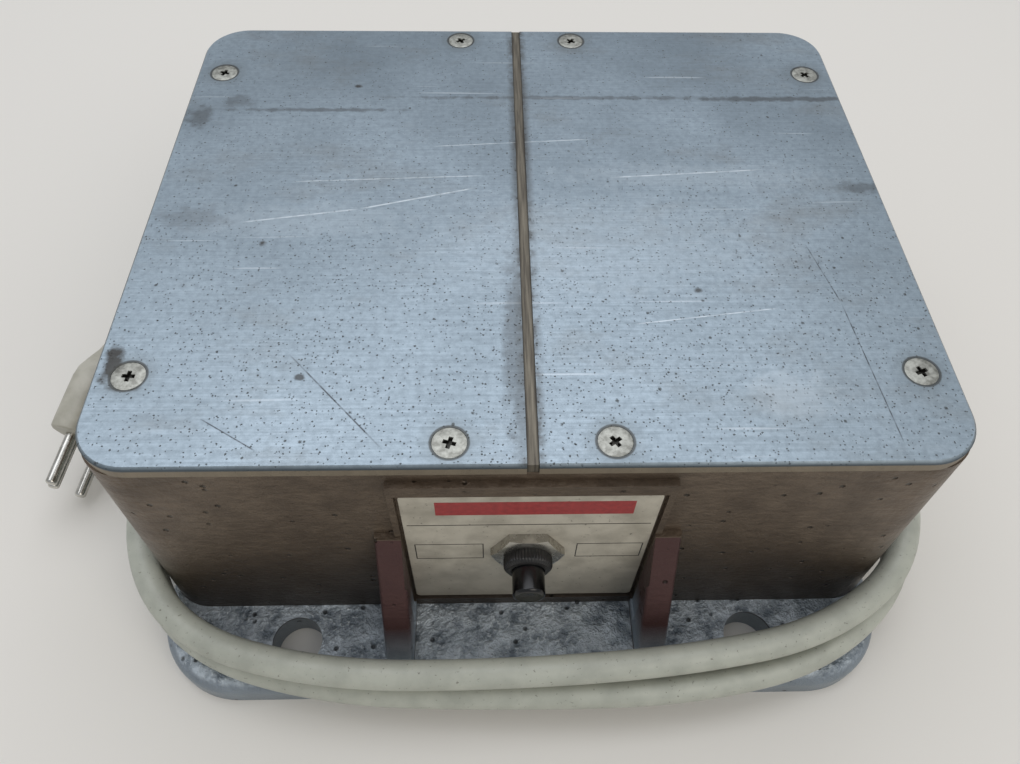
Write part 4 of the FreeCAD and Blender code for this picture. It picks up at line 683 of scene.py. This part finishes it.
def setPieces(name, places, shape, material, seed, turn):
    # copies of a shape on a list of places, as one plain mesh
    points = bpy.data.meshes.new(name + "Points")
    points.from_pydata(places, [], [])
    holder, source = scratchObject(name + "Points", points), scratchObject(name + "Source", shape)
    modifier = holder.modifiers.new("copies", "NODES")
    modifier.node_group = instanceTree(name + "Tree", material, seed)
    for item in modifier.node_group.interface.items_tree:
        if item.in_out == "INPUT" and item.name == "Piece":
            modifier[item.identifier] = source
        if item.in_out == "INPUT" and item.name == "Turn":
            modifier[item.identifier] = turn
    mesh = plainMesh(holder, name)
    dropObject(holder)
    dropObject(source)
    return meshPiece(name, mesh, material, smooth=True)


def plateScrews(settings):
    places = [(signX * x * mm, signY * y * mm, settings["top"] * mm)
              for x, y in settings["places"] for signX in (-1, 1) for signY in (-1, 1)]
    screws = setPieces("plateScrewHeads", places, screwShape(settings), looks["zincPlatedSteel"],
                       settings["seed"], math.tau)
    smoothByAngle(screws.data, 35)
    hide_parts("plate_screws")


plateScrews(screwSettings)
print("plate screws set")


# rating plate: bare, with a plain band, a rule and two empty boxes

printSettings = {"ink": 0.04, "sink": 0.02, "rule": 0.35, "frame": 0.3,
                 "band": (-26.0, 28.5, 75.0, 82.5), "ruleLine": (-34.4, 34.4, 68.6),
                 "boxes": [(-33.3, -13.0, 46.0, 56.2), (14.5, 34.2, 46.4, 55.8)]}


def printPiece(name, rectangles, material, settings):
    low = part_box("rating_plate")[0]
    front = low[1] - settings["ink"] * mm
    back = low[1] + settings["sink"] * mm
    shape = bmesh.new()
    for left, right, bottom, top in rectangles:
        made = bmesh.ops.create_cube(shape, size=1.0)["verts"]
        for vert in made:
            vert.co = Vector(((left if vert.co.x < 0 else right) * mm, front if vert.co.y < 0 else back,
                              (bottom if vert.co.z < 0 else top) * mm))
    mesh = bpy.data.meshes.new(name)
    shape.to_mesh(mesh)
    shape.free()
    return meshPiece(name, mesh, material)


def ratingPrint(settings):
    left, right, level = settings["ruleLine"]
    lines = [(left, right, level, level + settings["rule"])]
    line = settings["frame"]
    for left, right, bottom, top in settings["boxes"]:
        lines += [(left, right, bottom, bottom + line), (left, right, top - line, top),
                  (left, left + line, bottom + line, top - line),
                  (right - line, right, bottom + line, top - line)]
    printPiece("ratingPlateLines", lines, looks["blackInk"], settings)
    printPiece("ratingPlateBand", [settings["band"]], looks["redInk"], settings)


ratingPrint(printSettings)
print("rating plate printed")


# push button with its nuts

buttonSettings = {"axis": 53.0, "front": -114.2, "cap": 4.75, "dome": 1.1, "collar": 6.5,
                  "collarFront": -87.5, "collarBack": -85.5, "stem": 2.0, "stemBack": -79.5, "dish": 0.25}
hexSettings = {"flats": 19.0, "front": -101.9, "back": -98.9, "bore": 6.0, "chamfer": 1.3, "face": 0.2,
               "corner": 0.15, "sides": 96, "cutLonger": 4}
ringSettings = {"radius": 7.2, "front": -106.1, "back": -101.9, "bore": 6.0, "teeth": 48, "tooth": 0.32,
                "edge": 0.7}


def turnedPiece(name, profile, segments, height):
    mesh = lathe(name, [(along * mm, radius * mm) for along, radius in profile], segments)
    mesh.transform(Matrix.Translation((0, 0, height * mm)))
    return mesh


def makeButton(settings):
    front, cap, dome = settings["front"], settings["cap"], settings["dome"]
    arc = [(front + dome - dome * math.sin(angle), cap - dome + dome * math.cos(angle))
           for angle in [math.pi / 2 * step / 8 for step in range(8, -1, -1)]]
    profile = [(front + settings["dish"], 0), (front + settings["dish"] * 0.8, cap * 0.45)] + arc
    profile += [(settings["collarFront"], cap), (settings["collarFront"], settings["collar"]),
                (settings["collarBack"], settings["collar"]), (settings["collarBack"], settings["stem"]),
                (settings["stemBack"], settings["stem"]), (settings["stemBack"], 0)]
    mesh = turnedPiece("buttonCap", profile, 64, settings["axis"])
    button = meshPiece("buttonCap", mesh, looks["blackAcetal"], rides="button")
    smoothByAngle(button.data, 40)
    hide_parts("button_plunger")


def makeHexNut(settings):
    # a prism with its corners turned down, and a plain bore
    flats, depth = settings["flats"] / 2, settings["chamfer"]
    front, back, bore = settings["front"], settings["back"], settings["bore"]
    corner = flats / math.cos(math.pi / 6)
    wide = corner + settings["corner"]
    cone = [(front, bore), (front, flats - settings["face"]), (front + depth * 0.5, wide), (back, wide),
            (back, bore), (front, bore)]
    blank = turnedPiece("nutBlank", cone, settings["sides"], buttonSettings["axis"])
    turned = scratchObject("nutBlank", blank)
    shape = bmesh.new()
    bmesh.ops.create_cone(shape, cap_ends=True, segments=6, radius1=corner * mm, radius2=corner * mm,
                          depth=(back - front + settings["cutLonger"]) * mm)
    mesh = bpy.data.meshes.new("nutPrism")
    shape.to_mesh(mesh)
    shape.free()
    # a flat faces up, as on the real one
    mesh.transform(Matrix.Translation((0, (front + back) / 2 * mm, buttonSettings["axis"] * mm))
                   @ Matrix.Rotation(math.pi / 2, 4, "X") @ Matrix.Rotation(math.pi / 6, 4, "Z"))
    prism = scratchObject("nutPrism", mesh)
    cut = turned.modifiers.new("flats", "BOOLEAN")
    cut.object = prism
    cut.operation = "INTERSECT"
    cut.solver = "EXACT"
    result = plainMesh(turned, "bushingHexNut")
    dropObject(turned)
    dropObject(prism)
    nut = meshPiece("bushingHexNut", result, looks["nickelPlatedSteel"])
    smoothByAngle(nut.data, 25)
    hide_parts("switch_hex_nut")


def makeRingNut(settings):
    # a knurled ring: teeth run from front to back and fade at the chamfered front edge
    teeth, front, back = settings["teeth"], settings["front"], settings["back"]
    steps = teeth * 4
    sections = [(front, settings["bore"], 0), (front, settings["radius"] - settings["edge"] - 0.4, 0),
                (front + settings["edge"], settings["radius"] - 0.25, 0.6),
                (front + 1.2, settings["radius"], 1),
                (back - 0.5, settings["radius"], 1), (back, settings["radius"] - 0.4, 0),
                (back, settings["bore"], 0)]
    shape = bmesh.new()
    rings = []
    for along, radius, share in sections:
        ring = []
        for step in range(steps):
            angle = math.tau * step / steps
            wave = 0.5 - 0.5 * math.cos(teeth * angle)
            reach = (radius - settings["tooth"] * share * wave) * mm
            ring.append(shape.verts.new((reach * math.cos(angle), along * mm,
                                         buttonSettings["axis"] * mm + reach * math.sin(angle))))
        rings.append(ring)
    for first, second in zip(rings, rings[1:] + rings[:1]):
        for step in range(steps):
            after = (step + 1) % steps
            shape.faces.new((first[step], first[after], second[after], second[step]))
    bmesh.ops.recalc_face_normals(shape, faces=shape.faces)
    mesh = bpy.data.meshes.new("knurledRingNut")
    shape.to_mesh(mesh)
    shape.free()
    ring = meshPiece("knurledRingNut", mesh, looks["blackPhenolic"])
    smoothByAngle(ring.data, 45)
    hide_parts("switch_ring_nut")


makeButton(buttonSettings)
makeHexNut(hexSettings)
makeRingNut(ringSettings)
print("push button made")


# plug, moulded, standing on its narrow edge

plugSettings = {
    "width": 35.0, "depth": 14.0, "length": 22.0, "shoulder": 16.0, "neck": 11.0, "relief": 24.0,
    "ribs": 6, "points": 32, "square": 0.62, "reliefRoot": 0.92, "reliefTip": 10.2, "reliefEnd": 9.8,
    # share of a rib's spacing, how far the groove between two ribs sinks
    "ribSteps": [(0.0, 0.0), (0.55, 0.0), (0.65, 0.9), (0.9, 0.9)],
    # distance behind the face, share of the width, share of the depth
    "sections": [(0.0, 0.955, 0.93), (0.5, 0.99, 0.985), (1.6, 1.0, 1.0), (11.0, 1.0, 1.0),
                 (20.0, 0.99, 1.0), (24.0, 0.93, 0.99), (29.0, 0.72, 0.95), (34.0, 0.5, 0.88),
                 (38.0, 0.4, 0.8)],
}


def plugFrame(settings):
    # the plug's own axes: along its pins, up its wide side, and through its thickness
    tail, before = Vector(cordSettings["route"][-1]), Vector(cordSettings["route"][-2])
    pins = (tail - before).normalized()
    up = Vector((0, 0, 1))
    up = (up - pins * up.dot(pins)).normalized()
    side = pins.cross(up)
    face = tail + pins * (settings["length"] + settings["shoulder"] + settings["relief"]) * mm
    turn = Matrix((up, side, pins)).transposed().to_4x4()
    return Matrix.Translation(face) @ turn


def plugSection(width, depth, back, settings):
    ring = []
    for step in range(settings["points"]):
        angle = math.tau * step / settings["points"]
        c, s = math.cos(angle), math.sin(angle)
        x = math.copysign(abs(c) ** settings["square"], c) * width / 2
        y = math.copysign(abs(s) ** settings["square"], s) * depth / 2
        ring.append((x * mm, y * mm, -back * mm))
    return ring


def roundSection(radius, back, settings):
    turns = [math.tau * step / settings["points"] for step in range(settings["points"])]
    return [(radius * mm * math.cos(turn), radius * mm * math.sin(turn), -back * mm) for turn in turns]


def loft(name, rings, place):
    shape = bmesh.new()
    made = [[shape.verts.new(point) for point in ring] for ring in rings]
    count = len(rings[0])
    for first, second in zip(made, made[1:]):
        for step in range(count):
            after = (step + 1) % count
            shape.faces.new((first[step], first[after], second[after], second[step]))
    for ring in (made[0], made[-1]):
        shape.faces.new(ring)
    bmesh.ops.recalc_face_normals(shape, faces=shape.faces)
    mesh = bpy.data.meshes.new(name)
    shape.to_mesh(mesh)
    shape.free()
    mesh.transform(place)
    return mesh


def makePlug(settings):
    place = plugFrame(settings)
    rings = [plugSection(settings["width"] * wide, settings["depth"] * deep, back, settings)
             for back, wide, deep in settings["sections"]]
    grey = looks["greyMouldedPvc"]
    plug = meshPiece("plugMoulding", loft("plugMoulding", rings, place), grey)
    smoothByAngle(plug.data, 35)
    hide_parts("plug_body")
    start, reach = settings["length"] + settings["shoulder"], settings["relief"]
    rings = []
    for rib in range(settings["ribs"]):
        for share, sink in settings["ribSteps"]:
            part = (rib + share) / settings["ribs"]
            root = settings["neck"] * (1 - part) * settings["reliefRoot"]
            across = root + settings["reliefTip"] * part - sink
            rings.append(roundSection(across / 2, start + reach * part, settings))
    rings.append(roundSection(settings["reliefEnd"] / 2, start + reach, settings))
    relief = meshPiece("plugRelief", loft("plugRelief", rings, place), grey)
    smoothByAngle(relief.data, 35)
    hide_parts("plug_relief")
    return [plug, relief]


plugPieces = makePlug(plugSettings)
print("plug moulded")


# floor, backdrop and light

stageSettings = {"floor": "#dedbd4", "floorRough": 0.75, "size": 6.0, "world": "#eef1f5", "worldPower": 0.5}
lampSettings = [
    # name, place, aimed at, width, depth, watts, colour
    ("skyLight", (-0.15, 0.45, 1.4), (0, 0, 0.05), 1.8, 1.3, 13.0, "#f6f8ff"),
    ("roomLight", (0.7, -0.9, 1.2), (0, 0, 0.05), 1.1, 0.9, 6.0, "#fff6ea"),
]


def makeStage(settings, lamps):
    shape = bmesh.new()
    bmesh.ops.create_grid(shape, x_segments=1, y_segments=1, size=settings["size"])
    mesh = bpy.data.meshes.new("floor")
    shape.to_mesh(mesh)
    shape.free()
    floor = scratchObject("floor", mesh)
    material, tree, place = newMaterial("paleFloor")
    surface = add(tree, "BsdfPrincipled", settings["floor"], 0.0, settings["floorRough"])
    add(tree, "OutputMaterial", surface)
    mesh.materials.append(material)
    world = bpy.data.worlds.new("softRoom")
    world.use_nodes = True
    sky = world.node_tree.nodes["Background"]
    sky.inputs["Color"].default_value = linear(settings["world"])
    sky.inputs["Strength"].default_value = settings["worldPower"]
    bpy.context.scene.world = world
    for name, place, target, width, depth, power, colour in lamps:
        data = bpy.data.lights.new(name, "AREA")
        data.shape = "RECTANGLE"
        data.size, data.size_y = width, depth
        data.energy = power
        data.color = linear(colour)[:3]
        lamp = bpy.data.objects.new(name, data)
        bpy.context.scene.collection.objects.link(lamp)
        aim = Vector(target) - Vector(place)
        lamp.matrix_world = Matrix.Translation(place) @ aim.to_track_quat("-Z", "Y").to_matrix().to_4x4()
    bpy.context.scene.view_settings.view_transform = "Standard"


makeStage(stageSettings, lampSettings)
print("stage lit")
